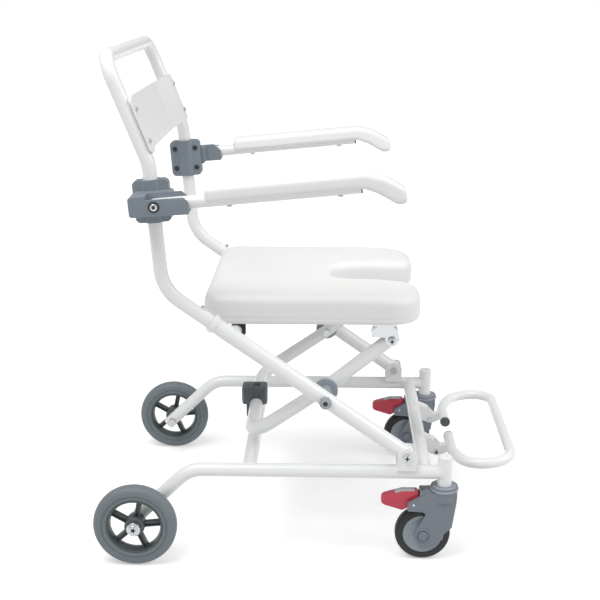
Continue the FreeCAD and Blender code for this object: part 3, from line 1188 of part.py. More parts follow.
sleeve_depth = named("sleeve_depth", 110.0, "back tube inside the lower leg")
lean_angle = named("lean_angle", 4.2, "back tube off the vertical at the armrests")
recline_angle = named("recline_angle", 21.4, "back tube off the vertical above the armrests")
knee_z = named("knee_z", 501.0, "floor to the lower bend's corner")
shoulder_z = named("shoulder_z", 718.0, "floor to the upper bend's corner")
push_bar_z = named("push_bar_z", 891.0, "floor to the push bar's centreline")
knee_radius = named("knee_radius", 75.0, "lower bend of the back tube")
shoulder_radius = named("shoulder_radius", 80.0, "upper bend of the back tube")
push_corner_radius = named("push_corner_radius", 38.0, "corner of the push bar")
stub_reach = leg_length - sleeve_depth
stub_x = fold_x - stub_reach * cosine(leg_angle)
stub_z = fold_z + stub_reach * sine(leg_angle)
knee_x = fold_x - (knee_z - fold_z) / tangent(leg_angle)
shoulder_x = knee_x - (shoulder_z - knee_z) * tangent(lean_angle)
push_bar_x = shoulder_x - (push_bar_z - shoulder_z) * tangent(recline_angle)
back_path = [(stub_x, -side_offset, stub_z), (knee_x, -side_offset, knee_z),
             (shoulder_x, -side_offset, shoulder_z), (push_bar_x, -side_offset, push_bar_z),
             (push_bar_x, side_offset, push_bar_z), (shoulder_x, side_offset, shoulder_z),
             (knee_x, side_offset, knee_z), (stub_x, side_offset, stub_z)]
back_radii = [knee_radius, shoulder_radius, push_corner_radius, push_corner_radius, shoulder_radius,
              knee_radius]
button_reach = named("button_reach", 446.0, "fold pivot to the spring button along the leg")
button_diameter = named("button_diameter", 7.0, "spring button")
button_height = named("button_height", 4.0, "spring button above the tube")
button_root = named("button_root", 1.0, "spring button inside the tube's bore")
button_start = tube_bore / 2 - button_root
button_x = fold_x - button_reach * cosine(leg_angle) + button_start * sine(leg_angle)
button_z = fold_z + button_reach * sine(leg_angle) + button_start * cosine(leg_angle)
button_length = (tube_diameter - tube_bore) / 2 + button_root + button_height
panel_low = named("panel_low", 14.0, "upper bend's corner to the panel's lower edge")
panel_height = named("panel_height", 96.0, "back panel along the uprights")
panel_thickness = named("panel_thickness", 3.0, "back panel")
screw_inset = named("screw_inset", 20.0, "panel edge to its screws, up and down")
screw_diameter = named("screw_diameter", 4.0, "panel screw")
screw_bite = named("screw_bite", 2.0, "panel screw inside the tube's bore")
screw_rows = (panel_low + screw_inset, panel_low + panel_height - screw_inset)
screw_start = tube_bore / 2 - screw_bite
button_heading = vector(sine(leg_angle), ZERO, cosine(leg_angle))
screw_heading = vector(cosine(recline_angle), ZERO, sine(recline_angle))
back_holes = []
for side in (-side_offset, side_offset):
    back_holes.append((button_diameter, vector(button_x, side, button_z), button_heading, button_length))
    for row in screw_rows:
        row_point = vector(shoulder_x - row * sine(recline_angle), side,
                           shoulder_z + row * cosine(recline_angle))
        back_holes.append((screw_diameter, row_point, screw_heading, tube_diameter))
bent_tube("back_tube", back_path, back_radii, tube_diameter, tube_bore, back_holes)

button = rod("button", button_diameter, button_length)
place(button, button_x, -side_offset, button_z, leg_angle)
pair("spring_buttons", button)

# Back panel: a thin moulding bowed rearward between the uprights and screwed to their fronts

panel_half_width = named("panel_half_width", 242.0, "middle plane to the panel's side edge")
panel_flat = named("panel_flat", 214.0, "middle plane to the flat mounting edge")
panel_bow = named("panel_bow", 16.0, "panel's middle behind its edges")
panel_quarter = named("panel_quarter", 120.0, "middle plane to the bow's shoulder")
panel_corner = named("panel_corner", 7.0, "corners of the panel")
panel_bend = named("panel_bend", 150.0, "radius of the bow's shoulders")
panel_edge_bend = named("panel_edge_bend", 75.0, "radius where the bow leaves the uprights")
panel_touch = tube_diameter / 2

panel = new_body("panel")
panel_section = new_sketch(panel, "section", "XY_Plane", panel_low)
rear_face = [(panel_touch, -panel_half_width), (panel_touch, -panel_flat),
             (panel_touch - panel_bow, -panel_quarter), (panel_touch - panel_bow, panel_quarter),
             (panel_touch, panel_flat), (panel_touch, panel_half_width)]
front_face = [(depth + panel_thickness, across) for depth, across in reversed(rear_face)]
panel_radii = [0, panel_edge_bend, panel_bend, panel_bend, panel_edge_bend, 0]
draw_outline(panel_section, rear_face + front_face, panel_radii + panel_radii)
pad(panel, panel_section, panel_height)
round_edges(panel, panel_corner,
            lambda edge: edge.Length < panel_thickness.value + NEAR_ENOUGH
            and abs(edge.CenterOfMass.y) > panel_flat.value)
screw_head = named("screw_head", 9.0, "panel screw head")
screw_head_height = named("screw_head_height", 2.5, "panel screw head")
for index, height in enumerate(screw_rows):
    holes = new_sketch(panel, f"screw_holes_{index}", "YZ_Plane", panel_touch + panel_thickness * 2)
    draw_circle(holes, -side_offset, height, screw_diameter)
    draw_circle(holes, side_offset, height, screw_diameter)
    pocket(panel, holes, panel_thickness * 3)
place(panel, shoulder_x, ZERO, shoulder_z, -recline_angle)
keep(panel, "back_panel")

panel_screw_list = []
for index, height in enumerate(screw_rows):
    shank = rod(f"panel_screw_shank_{index}", screw_diameter,
                panel_touch + panel_thickness - screw_start, "x", screw_start, ZERO, height)
    head = rod(f"panel_screw_head_{index}", screw_head, screw_head_height, "x",
               panel_touch + panel_thickness, ZERO, height)
    screw = fuse(f"panel_screw_{index}", [shank, head])
    place(screw, shoulder_x, -side_offset, shoulder_z, -recline_angle)
    panel_screw_list += [screw, mirrored(screw)]
group("panel_screws", panel_screw_list)

# Armrest clamps: an inner plate bolted through to an outer carrier with an open channel

clamp_z = named("clamp_z", 656.5, "floor to the middle of the clamp")
clamp_half_length = named("clamp_half_length", 30.5, "clamp front to rear, half")
clamp_half_height = named("clamp_half_height", 36.0, "clamp up and down, half")
clamp_thickness = named("clamp_thickness", 9.5, "flat of each clamp half")
clamp_split = named("clamp_split", 0.5, "half of the gap between the clamp halves")
clamp_bulge = named("clamp_bulge", 17.0, "clamp around the tube")
clamp_corner = named("clamp_corner", 9.0, "corners of the clamp")
clamp_bulge_round = named("clamp_bulge_round", 13.0, "rounded sides of the bulge")
clamp_bolt_x = named("clamp_bolt_x", 21.0, "clamp bolts front to rear, half spacing")
clamp_bolt_z = named("clamp_bolt_z", 20.0, "clamp bolts up and down, half spacing")
clamp_bolt_diameter = named("clamp_bolt_diameter", 5.0, "clamp bolt")
clamp_bolt_head = named("clamp_bolt_head", 9.0, "clamp bolt head")
clamp_bolt_head_height = named("clamp_bolt_head_height", 5.0, "clamp bolt head")
clamp_bolt_length = named("clamp_bolt_length", 14.0, "clamp bolt under its head")
head_sink = named("head_sink", 3.5, "clamp bolt head sunk in the plate")
clamp_x = knee_x - (clamp_z - knee_z) * tangent(lean_angle)

clamp_plate = new_body("clamp_plate")
plate_face = new_sketch(clamp_plate, "face", "XZ_Plane", -clamp_thickness - clamp_split)
rectangle(plate_face, -clamp_half_length, -clamp_half_height, clamp_half_length, clamp_half_height,
          clamp_corner)
pad(clamp_plate, plate_face, clamp_thickness)
plate_bulge = new_sketch(clamp_plate, "bulge", "XY_Plane", -clamp_half_height)
draw_outline(plate_bulge,
             [(-clamp_bulge, clamp_split), (clamp_bulge, clamp_split), (clamp_bulge, clamp_bulge),
              (-clamp_bulge, clamp_bulge)],
             [0, 0, clamp_bulge_round, clamp_bulge_round])
pad(clamp_plate, plate_bulge, clamp_half_height * 2)
plate_bore = disc_sketch(clamp_plate, "bore", "XY_Plane", tube_diameter, clamp_half_height * 2)
pocket(clamp_plate, plate_bore, clamp_half_height * 4)
plate_holes = new_sketch(clamp_plate, "holes", "XZ_Plane", ZERO)
plate_sinks = new_sketch(clamp_plate, "sinks", "XZ_Plane", head_sink - clamp_thickness - clamp_split)
for across in (-clamp_bolt_x, clamp_bolt_x):
    for upward in (-clamp_bolt_z, clamp_bolt_z):
        draw_circle(plate_holes, across, upward, clamp_bolt_diameter)
        draw_circle(plate_sinks, across, upward, clamp_bolt_head)
pocket(clamp_plate, plate_holes, clamp_thickness * 3)
pocket(clamp_plate, plate_sinks, clamp_thickness * 2)
place(clamp_plate, clamp_x, -side_offset, clamp_z, -lean_angle)
pair("clamp_plates", clamp_plate)

clamp_bolt_list = []
for row, upward in enumerate((-clamp_bolt_z, clamp_bolt_z)):
    for column, across in enumerate((-clamp_bolt_x, clamp_bolt_x)):
        name = f"clamp_bolt_{row}_{column}"
        under_head = clamp_thickness + clamp_split - head_sink
        shank = rod(f"{name}_shank", clamp_bolt_diameter, clamp_bolt_length, "y",
                    across, under_head - clamp_bolt_length, upward)
        head = rod(f"{name}_head", clamp_bolt_head, clamp_bolt_head_height, "y",
                   across, under_head, upward)
        clamp_bolt = fuse(name, [shank, head])
        place(clamp_bolt, clamp_x, -side_offset, clamp_z, -lean_angle)
        clamp_bolt_list += [clamp_bolt, mirrored(clamp_bolt)]
group("clamp_bolts", clamp_bolt_list)

arm_offset = named("arm_offset", 50.0, "back tube outward to the armrest tube")
arm_pivot_x = named("arm_pivot_x", 12.0, "back tube forward to the armrest pivot")
arm_pivot_z = named("arm_pivot_z", 0.5, "clamp's middle up to the armrest pivot")
carrier_rear = named("carrier_rear", 42.0, "armrest pivot back to the carrier's rear")
carrier_front = named("carrier_front", 56.0, "armrest pivot to the carrier's front")
carrier_up = named("carrier_up", 18.0, "armrest pivot to the carrier's top")
carrier_down = named("carrier_down", 15.5, "armrest pivot to the carrier's underside")
outer_wall_up = named("outer_wall_up", 12.0, "armrest pivot to the top of the outer wall")
carrier_half = named("carrier_half", 18.0, "armrest tube to the carrier's side face")
carrier_wall = named("carrier_wall", 5.5, "channel walls of the carrier")
floor_gap = named("floor_gap", 0.6, "armrest tube to the channel floor")
carrier_chamfer = named("carrier_chamfer", 13.0, "sloped front of the carrier")
carrier_round = named("carrier_round", 5.0, "corners of the carrier")
carrier_edge = named("carrier_edge", 2.0, "softened side edges of the carrier")
web_front = named("web_front", 26.0, "armrest pivot to the front of the carrier's neck")
arm_diameter = named("arm_diameter", 22.0, "armrest tube")
arm_bore = named("arm_bore", 18.0, "inside of the armrest tube")
arm_heel_flat = named("arm_heel_flat", 0.2, "flat left where the tube's rounded end begins")
arm_heel_gap = named("arm_heel_gap", 3.0, "armrest tube to the channel's rear wall")
arm_bolt_diameter = named("arm_bolt_diameter", 8.0, "armrest pivot bolt")
arm_bolt_head = named("arm_bolt_head", 12.0, "armrest pivot bolt head")
arm_bolt_head_height = named("arm_bolt_head_height", 3.0, "armrest pivot bolt head")
arm_bolt_bite = named("arm_bolt_bite", 14.0, "armrest pivot bolt screwed into the carrier")

carrier = new_body("carrier")
carrier_side = new_sketch(carrier, "side", "XZ_Plane", arm_offset - carrier_half)
draw_outline(carrier_side,
             [(arm_pivot_x - carrier_rear, arm_pivot_z - carrier_down),
              (arm_pivot_x + carrier_front, arm_pivot_z - carrier_down),
              (arm_pivot_x + carrier_front, arm_pivot_z + carrier_up - carrier_chamfer),
              (arm_pivot_x + carrier_front - carrier_chamfer, arm_pivot_z + carrier_up),
              (arm_pivot_x - carrier_rear, arm_pivot_z + carrier_up)],
             [carrier_round, carrier_edge, carrier_round, carrier_round, carrier_round])
pad(carrier, carrier_side, carrier_half * 2)
neck_side = new_sketch(carrier, "neck", "XZ_Plane", clamp_split)
rectangle(neck_side, arm_pivot_x - carrier_rear, arm_pivot_z - carrier_down, arm_pivot_x + web_front,
          arm_pivot_z + carrier_up, carrier_round)
pad(carrier, neck_side, arm_offset - carrier_half)
outer_plate = new_sketch(carrier, "plate", "XZ_Plane", clamp_split)
rectangle(outer_plate, -clamp_half_length, -clamp_half_height, clamp_half_length, clamp_half_height,
          clamp_corner)
pad(carrier, outer_plate, clamp_thickness)
outer_bulge = new_sketch(carrier, "bulge", "XY_Plane", -clamp_half_height)
draw_outline(outer_bulge,
             [(-clamp_bulge, -clamp_split), (clamp_bulge, -clamp_split), (clamp_bulge, -clamp_bulge),
              (-clamp_bulge, -clamp_bulge)],
             [0, 0, clamp_bulge_round, clamp_bulge_round])
pad(carrier, outer_bulge, clamp_half_height * 2)
carrier_bore = disc_sketch(carrier, "bore", "XY_Plane", tube_diameter, clamp_half_height * 2)
pocket(carrier, carrier_bore, clamp_half_height * 4)
channel_half = carrier_half - carrier_wall
channel_rear = arm_pivot_x - arm_diameter / 2 - arm_heel_gap
channel_cut = new_sketch(carrier, "channel", "XZ_Plane", arm_offset + channel_half)
rectangle(channel_cut, channel_rear, arm_pivot_z - arm_diameter / 2 - floor_gap,
          arm_pivot_x + carrier_front * 2, arm_pivot_z + carrier_up * 2)
pocket(carrier, channel_cut, channel_half * 2)
wall_cut = new_sketch(carrier, "wall", "XZ_Plane", arm_offset + carrier_half)
rectangle(wall_cut, channel_rear, arm_pivot_z + outer_wall_up, arm_pivot_x + carrier_front * 2,
          arm_pivot_z + carrier_up * 2)
pocket(carrier, wall_cut, carrier_wall)
carrier_pivot = disc_sketch(carrier, "pivot", "XZ_Plane", arm_bolt_diameter,
                            arm_offset + carrier_half, arm_pivot_x, arm_pivot_z)
pocket(carrier, carrier_pivot, carrier_half + channel_half + arm_bolt_bite)
carrier_holes = new_sketch(carrier, "holes", "XZ_Plane",
                           clamp_bolt_length - clamp_thickness - clamp_split + head_sink)
for across in (-clamp_bolt_x, clamp_bolt_x):
    for upward in (-clamp_bolt_z, clamp_bolt_z):
        draw_circle(carrier_holes, across, upward, clamp_bolt_diameter)
pocket(carrier, carrier_holes, clamp_bolt_length)
place(carrier, clamp_x, -side_offset, clamp_z, -lean_angle)
keep(carrier, "armrest_carrier_right")
mirrored(carrier, "armrest_carrier_left")

pivot_world_x = clamp_x + arm_pivot_x * cosine(lean_angle) - arm_pivot_z * sine(lean_angle)
pivot_world_z = clamp_z + arm_pivot_x * sine(lean_angle) + arm_pivot_z * cosine(lean_angle)
arm_y = side_offset + arm_offset
arm_bolt_shank = rod("arm_bolt_shank", arm_bolt_diameter, carrier_half + channel_half + arm_bolt_bite, "y",
                     pivot_world_x, -arm_y - carrier_half, pivot_world_z)
arm_bolt_cap = rod("arm_bolt_cap", arm_bolt_head, arm_bolt_head_height, "y", pivot_world_x,
                   -arm_y - carrier_half - arm_bolt_head_height, pivot_world_z)
arm_bolt = fuse("arm_bolt", [arm_bolt_shank, arm_bolt_cap])
pair("armrest_pivot_bolts", arm_bolt)

# Armrests: a tube in the carrier's channel under a moulded pad that ends in a drooping grip

arm_angle = named("arm_angle", 5.5, "rise of the armrest")
arm_length = named("arm_length", 337.0, "armrest pivot to the tube's front end")
arm_plug_depth = named("arm_plug_depth", 12.0, "end plug inside the armrest tube")
arm_plug_flange = named("arm_plug_flange", 2.5, "visible disc of the end plug")
arm_screw_diameter = named("arm_screw_diameter", 5.0, "screw up into the pad")
arm_screw_head = named("arm_screw_head", 9.0, "head of the pad screw")
arm_screw_head_height = named("arm_screw_head_height", 2.5, "head of the pad screw")
arm_screw_bite = named("arm_screw_bite", 9.0, "pad screw above the tube")
arm_screw_rear = named("arm_screw_rear", 121.0, "armrest pivot to the rear pad screw")
arm_screw_front = named("arm_screw_front", 303.0, "armrest pivot to the front pad screw")

arm_tube = new_body("arm_tube")
arm_radius = arm_diameter / 2
arm_section = ring_sketch(arm_tube, "section", "YZ_Plane", arm_diameter, arm_bore, -arm_radius)
pad(arm_tube, arm_section, arm_length + arm_radius)
arm_heel = new_sketch(arm_tube, "heel", "XZ_Plane", arm_diameter)
heel_round = arm_radius - arm_heel_flat
draw_outline(arm_heel,
             [(ZERO, -arm_diameter), (ZERO, -arm_radius), (-arm_radius, -arm_radius),
              (-arm_radius, arm_radius), (ZERO, arm_radius), (ZERO, arm_diameter),
              (-arm_diameter, arm_diameter), (-arm_diameter, -arm_diameter)],
             [0, 0, heel_round, heel_round, 0, 0, 0, 0])
pocket(arm_tube, arm_heel, arm_diameter * 2)
arm_pivot_hole = disc_sketch(arm_tube, "pivot_hole", "XZ_Plane",
                             arm_bolt_diameter + running_clearance * 2, arm_diameter)
pocket(arm_tube, arm_pivot_hole, arm_diameter * 2)
arm_screw_holes = new_sketch(arm_tube, "screw_holes", "XY_Plane", arm_diameter)
draw_circle(arm_screw_holes, arm_screw_rear, ZERO, arm_screw_diameter)
draw_circle(arm_screw_holes, arm_screw_front, ZERO, arm_screw_diameter)
pocket(arm_tube, arm_screw_holes, arm_diameter * 2)
place(arm_tube, pivot_world_x, -arm_y, pivot_world_z, -arm_angle)
keep(arm_tube, "armrest_tube_right")
mirrored(arm_tube, "armrest_tube_left")

pad_half_width = named("pad_half_width", 25.0, "armrest pad, half its width")
pad_rear = named("pad_rear", 84.0, "armrest pivot to the pad's rear")
pad_low = named("pad_low", -0.5, "tube centre up to the pad's lower face")
pad_high = named("pad_high", 26.0, "tube centre up to the pad's top")
pad_brow = named("pad_brow", 347.0, "armrest pivot to where the grip turns down")
grip_shoulder_x = named("grip_shoulder_x", 377.0, "grip's shoulder")
grip_shoulder_z = named("grip_shoulder_z", 15.0, "grip's shoulder")
grip_brow_x = named("grip_brow_x", 409.0, "grip's front edge, top")
grip_brow_z = named("grip_brow_z", -7.0, "grip's front edge, top")
grip_tip_x = named("grip_tip_x", 411.0, "grip's front edge, bottom")
grip_tip_z = named("grip_tip_z", -31.0, "grip's lowest edge")
grip_heel_x = named("grip_heel_x", 393.0, "grip's rear edge at the bottom")
grip_throat_x = named("grip_throat_x", 364.0, "underside of the grip")
grip_throat_z = named("grip_throat_z", -11.0, "underside of the grip")
pad_throat_x = named("pad_throat_x", 341.0, "where the pad's underside turns down")
pad_corner = named("pad_corner", 9.0, "rear top corner of the pad")
grip_round = named("grip_round", 7.0, "corners of the grip")
pad_bend = named("pad_bend", 30.0, "gentle bends of the pad")
grip_heel_round = named("grip_heel_round", 5.0, "rear corner of the grip's tip")
grip_brow_round = named("grip_brow_round", 15.0, "front edge of the grip")
pad_edge = named("pad_edge", 6.0, "softened long edges of the pad")

arm_pad = new_body("arm_pad")
pad_side = new_sketch(arm_pad, "side", "XZ_Plane", -pad_half_width)
draw_outline(pad_side,
             [(pad_rear, pad_low), (pad_throat_x, pad_low), (grip_throat_x, grip_throat_z),
              (grip_heel_x, grip_tip_z), (grip_tip_x, grip_tip_z), (grip_brow_x, grip_brow_z),
              (grip_shoulder_x, grip_shoulder_z), (pad_brow, pad_high), (pad_rear, pad_high)],
             [0, pad_bend, pad_bend, grip_heel_round, grip_round, grip_brow_round, pad_bend,
              pad_bend, pad_corner])
pad(arm_pad, pad_side, pad_half_width * 2)
round_edges(arm_pad, pad_edge,
            lambda edge: abs(abs(edge.BoundBox.YMin) - pad_half_width.value) < NEAR_ENOUGH
            and abs(edge.BoundBox.YMax - edge.BoundBox.YMin) < NEAR_ENOUGH
            and edge.BoundBox.ZMax > pad_low.value + NEAR_ENOUGH
            and edge.BoundBox.XMax > pad_rear.value + NEAR_ENOUGH)
pad_groove = disc_sketch(arm_pad, "groove", "YZ_Plane", arm_diameter, arm_length + arm_plug_flange)
pocket(arm_pad, pad_groove, arm_length)
pad_holes = new_sketch(arm_pad, "screw_holes", "XY_Plane", arm_diameter / 2 + arm_screw_bite)
draw_circle(pad_holes, arm_screw_rear, ZERO, arm_screw_diameter)
draw_circle(pad_holes, arm_screw_front, ZERO, arm_screw_diameter)
pocket(arm_pad, pad_holes, arm_diameter)
place(arm_pad, pivot_world_x, -arm_y, pivot_world_z, -arm_angle)
keep(arm_pad, "armrest_pad_right")
mirrored(arm_pad, "armrest_pad_left")

arm_screws = []
for name, reach in (("rear", arm_screw_rear), ("front", arm_screw_front)):
    shank = rod(f"arm_screw_{name}_shank", arm_screw_diameter, arm_diameter + arm_screw_bite, "z",
                reach, ZERO, -arm_diameter / 2)
    head = rod(f"arm_screw_{name}_head", arm_screw_head, arm_screw_head_height, "z",
               reach, ZERO, -arm_diameter / 2 - arm_screw_head_height)
    arm_screw = fuse(f"arm_screw_{name}", [shank, head])
    place(arm_screw, pivot_world_x, -arm_y, pivot_world_z, -arm_angle)
    arm_screws.append(arm_screw)
group("armrest_screws_right", arm_screws)
group("armrest_screws_left", [mirrored(screw) for screw in arm_screws])

arm_plug = new_body("arm_plug")
pad(arm_plug, disc_sketch(arm_plug, "stem", "YZ_Plane", arm_bore, arm_length - arm_plug_depth),
    arm_plug_depth)
pad(arm_plug, disc_sketch(arm_plug, "flange", "YZ_Plane", arm_diameter, arm_length), arm_plug_flange)
place(arm_plug, pivot_world_x, -arm_y, pivot_world_z, -arm_angle)
keep(arm_plug, "armrest_plug_right")
mirrored(arm_plug, "armrest_plug_left")

# Check every object, then write each sub-part to its own file

doc.recompute()
problems = []
for item in doc.Objects:
    if "Invalid" in item.State or "Error" in item.State:
        problems.append(f"{item.Name}: {item.State}")
for piece in sub_parts:
    if piece.Shape.isNull() or not piece.Shape.isValid() or not piece.Shape.Solids:
        problems.append(f"{piece.Label}: bad shape")
if problems:
    raise RuntimeError("; ".join(problems))

os.makedirs("parts", exist_ok=True)
for piece in sub_parts:
    piece.Shape.exportStep(f"parts/{piece.Label}.step")
    box = piece.Shape.BoundBox
    print(f"{piece.Label}: {len(piece.Shape.Solids)} solids, "
          f"x {box.XMin:.1f} {box.XMax:.1f}, y {box.YMin:.1f} {box.YMax:.1f}, "
          f"z {box.ZMin:.1f} {box.ZMax:.1f}")
print(f"{len(sub_parts)} nodes")
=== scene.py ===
"""Dresses a folding shower commode chair: finishes, moulded pads, wheels, castors and fasteners."""
import logging
import math
from collections.abc import Iterable, Sequence
from dataclasses import dataclass, field
from enum import Enum

import bmesh
import bpy
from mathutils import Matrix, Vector


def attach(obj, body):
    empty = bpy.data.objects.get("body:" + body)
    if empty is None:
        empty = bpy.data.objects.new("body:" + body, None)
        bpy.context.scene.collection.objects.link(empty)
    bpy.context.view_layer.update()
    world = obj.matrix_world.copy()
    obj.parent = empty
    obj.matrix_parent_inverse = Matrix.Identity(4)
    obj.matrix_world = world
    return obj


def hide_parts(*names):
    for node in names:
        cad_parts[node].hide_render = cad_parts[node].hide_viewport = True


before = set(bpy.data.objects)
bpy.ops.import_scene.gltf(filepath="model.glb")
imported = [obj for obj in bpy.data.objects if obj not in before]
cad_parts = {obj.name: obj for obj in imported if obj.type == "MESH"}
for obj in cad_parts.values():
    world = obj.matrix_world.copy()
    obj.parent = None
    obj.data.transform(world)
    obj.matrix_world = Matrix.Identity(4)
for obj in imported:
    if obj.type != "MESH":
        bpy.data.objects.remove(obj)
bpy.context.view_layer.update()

logging.basicConfig(level=logging.INFO, format="%(message)s")
log = logging.getLogger("commode_chair")

MM = 0.001
FULL_TURN = math.tau
# Edges sharper than this many degrees stay crisp on plain pieces, and on eased mouldings.
PLAIN_SHARP, EASED_SHARP = 38.0, 40.0
# Edges that turn by more than this many degrees are eased.
EASE_FROM = 32.0
# The rear axle and the armrest pivot: place along the chair and height, in millimetres.
REAR_AXLE = (-309.269, 75.0)
ARM_PIVOT = (-250.765, 657.878)
Profile = Sequence[tuple[float, float]]


class Side(Enum):
    """The sitter's right hand is at negative Y."""

    RIGHT = -1
    LEFT = 1

    @property
    def word(self) -> str:
        """The side's name as the frame's nodes spell it."""
        return self.name.lower()


class Turning(Enum):
    """The axis that a turned shape goes round."""

    ACROSS = "y"
    UPRIGHT = "z"


class Recess(Enum):
    """What a screw's drive looks like, as a closed outline in head radii."""

    CROSS = "cross"
    HEX = "hex"
    LOBED = "lobed"

    def outline(self) -> list[tuple[float, float]]:
        """The recess corners.

        Returns:
            Points round the recess, anticlockwise.
        """
        if self is Recess.HEX:
            corner = 0.6
            return [(corner * math.cos(FULL_TURN * k / 6), corner * math.sin(FULL_TURN * k / 6))
                    for k in range(6)]
        if self is Recess.LOBED:
            middle, swing, lobes, steps = 0.47, 0.13, 5, 40
            angles = [FULL_TURN * k / steps for k in range(steps)]
            return [((middle + swing * math.cos(lobes * a)) * math.cos(a),
                     (middle + swing * math.cos(lobes * a)) * math.sin(a)) for a in angles]
        arm, half = 0.64, 0.19
        quarter = [(arm, -half), (arm, half), (half, half)]
        points = []
        for turn in range(4):
            c, s = round(math.cos(FULL_TURN * turn / 4)), round(math.sin(FULL_TURN * turn / 4))
            points += [(c * x - s * y, s * x + c * y) for x, y in quarter]
        return points


# Materials


def linear(hex_colour: str) -> tuple[float, float, float, float]:
    """Turn an sRGB hex colour to linear RGBA.

    Args:
        hex_colour: Six hex digits after a hash sign.

    Returns:
        The linear colour with full alpha.
    """
    channels = [int(hex_colour[i:i + 2], 16) / 255 for i in (1, 3, 5)]
    r, g, b = (c / 12.92 if c <= 0.04045 else ((c + 0.055) / 1.055) ** 2.4 for c in channels)
    return (r, g, b, 1.0)


def add_node(tree: bpy.types.NodeTree, kind: str, settings: dict | None = None,
             links: dict | None = None) -> bpy.types.Node:
    """Add a node with its settings and incoming links.

    Args:
        tree: The tree that gets the node.
        kind: The node's type name.
        settings: Attribute names, or input names or numbers, with their values.
        links: Input names or numbers with the output sockets that feed them.

    Returns:
        The new node.
    """
    node = tree.nodes.new(kind)
    for key, value in (settings or {}).items():
        if isinstance(key, str) and hasattr(node, key):
            setattr(node, key, value)
        else:
            node.inputs[key].default_value = value
    for key, socket in (links or {}).items():
        tree.links.new(socket, node.inputs[key])
    return node


@dataclass(frozen=True)
class Finish:
    """A real surface: its base colour, gloss, mottling and relief at their true scale.

    Grain sizes are in millimetres. The mottle shifts brightness by a few percent, as real
    surfaces do, and the relief is what moulding, spraying or plating leaves.
    """

    name: str
    colour: str
    roughness: float
    mottle_mm: float = 60.0
    mottle: float = 0.04
    grain_mm: float = 1.5
    relief_mm: float = 0.02
    metallic: float = 0.0
    ior: float | None = 1.5
    coat: float = 0.0
    coat_roughness: float = 0.1
    pebbled: bool = False
    stretch: tuple[float, float, float] = (1.0, 1.0, 1.0)
    gloss_swing: float = 0.12

    def material(self) -> bpy.types.Material:
        """Build the material once and reuse it after that.

        Returns:
            The material.
        """
        found = bpy.data.materials.get(self.name)
        if found is not None:
            return found
        material = bpy.data.materials.new(self.name)
        material.use_nodes = True
        tree = material.node_tree
        tree.nodes.clear()
        output = add_node(tree, "ShaderNodeOutputMaterial")
        shader = add_node(tree, "ShaderNodeBsdfPrincipled",
                          {"Metallic": self.metallic, "Coat Weight": self.coat,
                           "Coat Roughness": self.coat_roughness})
        if self.ior is not None and self.metallic == 0:
            shader.inputs["IOR"].default_value = self.ior
        tree.links.new(shader.outputs["BSDF"], output.inputs["Surface"])
        place = add_node(tree, "ShaderNodeTexCoord")
        mapping = add_node(tree, "ShaderNodeMapping", {"Scale": self.stretch},
                           {"Vector": place.outputs["Object"]})
        cloudy = add_node(tree, "ShaderNodeTexNoise",
                          {"Scale": 1 / (self.mottle_mm * MM), "Detail": 4.0},
                          {"Vector": mapping.outputs["Vector"]})
        base = linear(self.colour)
        low = tuple(c * (1 - self.mottle) for c in base[:3]) + (1.0,)
        high = tuple(min(1.0, c * (1 + self.mottle)) for c in base[:3]) + (1.0,)
        tint = add_node(tree, "ShaderNodeMix", {"data_type": "RGBA", 6: low, 7: high},
                        {0: cloudy.outputs["Fac"]})
        tree.links.new(tint.outputs[2], shader.inputs["Base Color"])
        gloss = add_node(tree, "ShaderNodeMapRange",
                         {"To Min": self.roughness * (1 - self.gloss_swing),
                          "To Max": self.roughness * (1 + self.gloss_swing)},
                         {"Value": cloudy.outputs["Fac"]})
        tree.links.new(gloss.outputs["Result"], shader.inputs["Roughness"])
        kind, settings, output_name = (
            ("ShaderNodeTexVoronoi", {"feature": "SMOOTH_F1"}, "Distance") if self.pebbled
            else ("ShaderNodeTexNoise", {"Detail": 2.0}, "Fac"))
        grain = add_node(tree, kind, {**settings, "Scale": 1 / (self.grain_mm * MM)},
                         {"Vector": mapping.outputs["Vector"]})
        bump = add_node(tree, "ShaderNodeBump", {"Strength": 1.0, "Distance": self.relief_mm * MM},
                        {"Height": grain.outputs[output_name]})
        tree.links.new(bump.outputs["Normal"], shader.inputs["Normal"])
        return material


# Sprayed epoxy powder on steel tube: bright white under a thin glossy skin with orange peel.
POWDER_WHITE = Finish("epoxy_powder_coat_white", "#EBECEC", 0.34, 80, 0.015, 2.4, 0.035,
                      coat=0.35, coat_roughness=0.16)
# Integral-skin polyurethane foam: closed satin skin, pebbled by the mould, drawn a little coarse.
FOAM_SKIN = Finish("integral_skin_polyurethane_white", "#E9E9E8", 0.47, 120, 0.02, 1.5, 0.05,
                   pebbled=True)
# Injection-moulded polypropylene sheet of the back panel: even, slightly waxy.
PANEL_WHITE = Finish("moulded_polypropylene_white", "#E9EAE9", 0.42, 90, 0.02, 1.2, 0.02)
# Glass-filled nylon of the armrest clamps: cool grey with a fine spark-eroded grain.
CLAMP_GREY = Finish("glass_filled_nylon_grey", "#78818A", 0.46, 45, 0.05, 1.0, 0.035)
# Moulded acetal of the latch: a darker, smoother grey than the clamps.
LATCH_GREY = Finish("moulded_acetal_dark_grey", "#545B62", 0.4, 30, 0.05, 1.0, 0.03)
# Polypropylene of the castor forks: blue-grey with soft gloss.
FORK_GREY = Finish("moulded_polypropylene_grey", "#757D86", 0.36, 40, 0.04, 1.1, 0.025)
# Nylon of the castor hubs: a lighter grey than the forks.
HUB_GREY = Finish("moulded_nylon_light_grey", "#949DA6", 0.38, 35, 0.04, 1.1, 0.025)
# Non-marking thermoplastic rubber of the rear tyres: matt grey, faintly dusty.
TYRE_GREY = Finish("thermoplastic_rubber_grey", "#717A7F", 0.55, 25, 0.06, 1.3, 0.05)
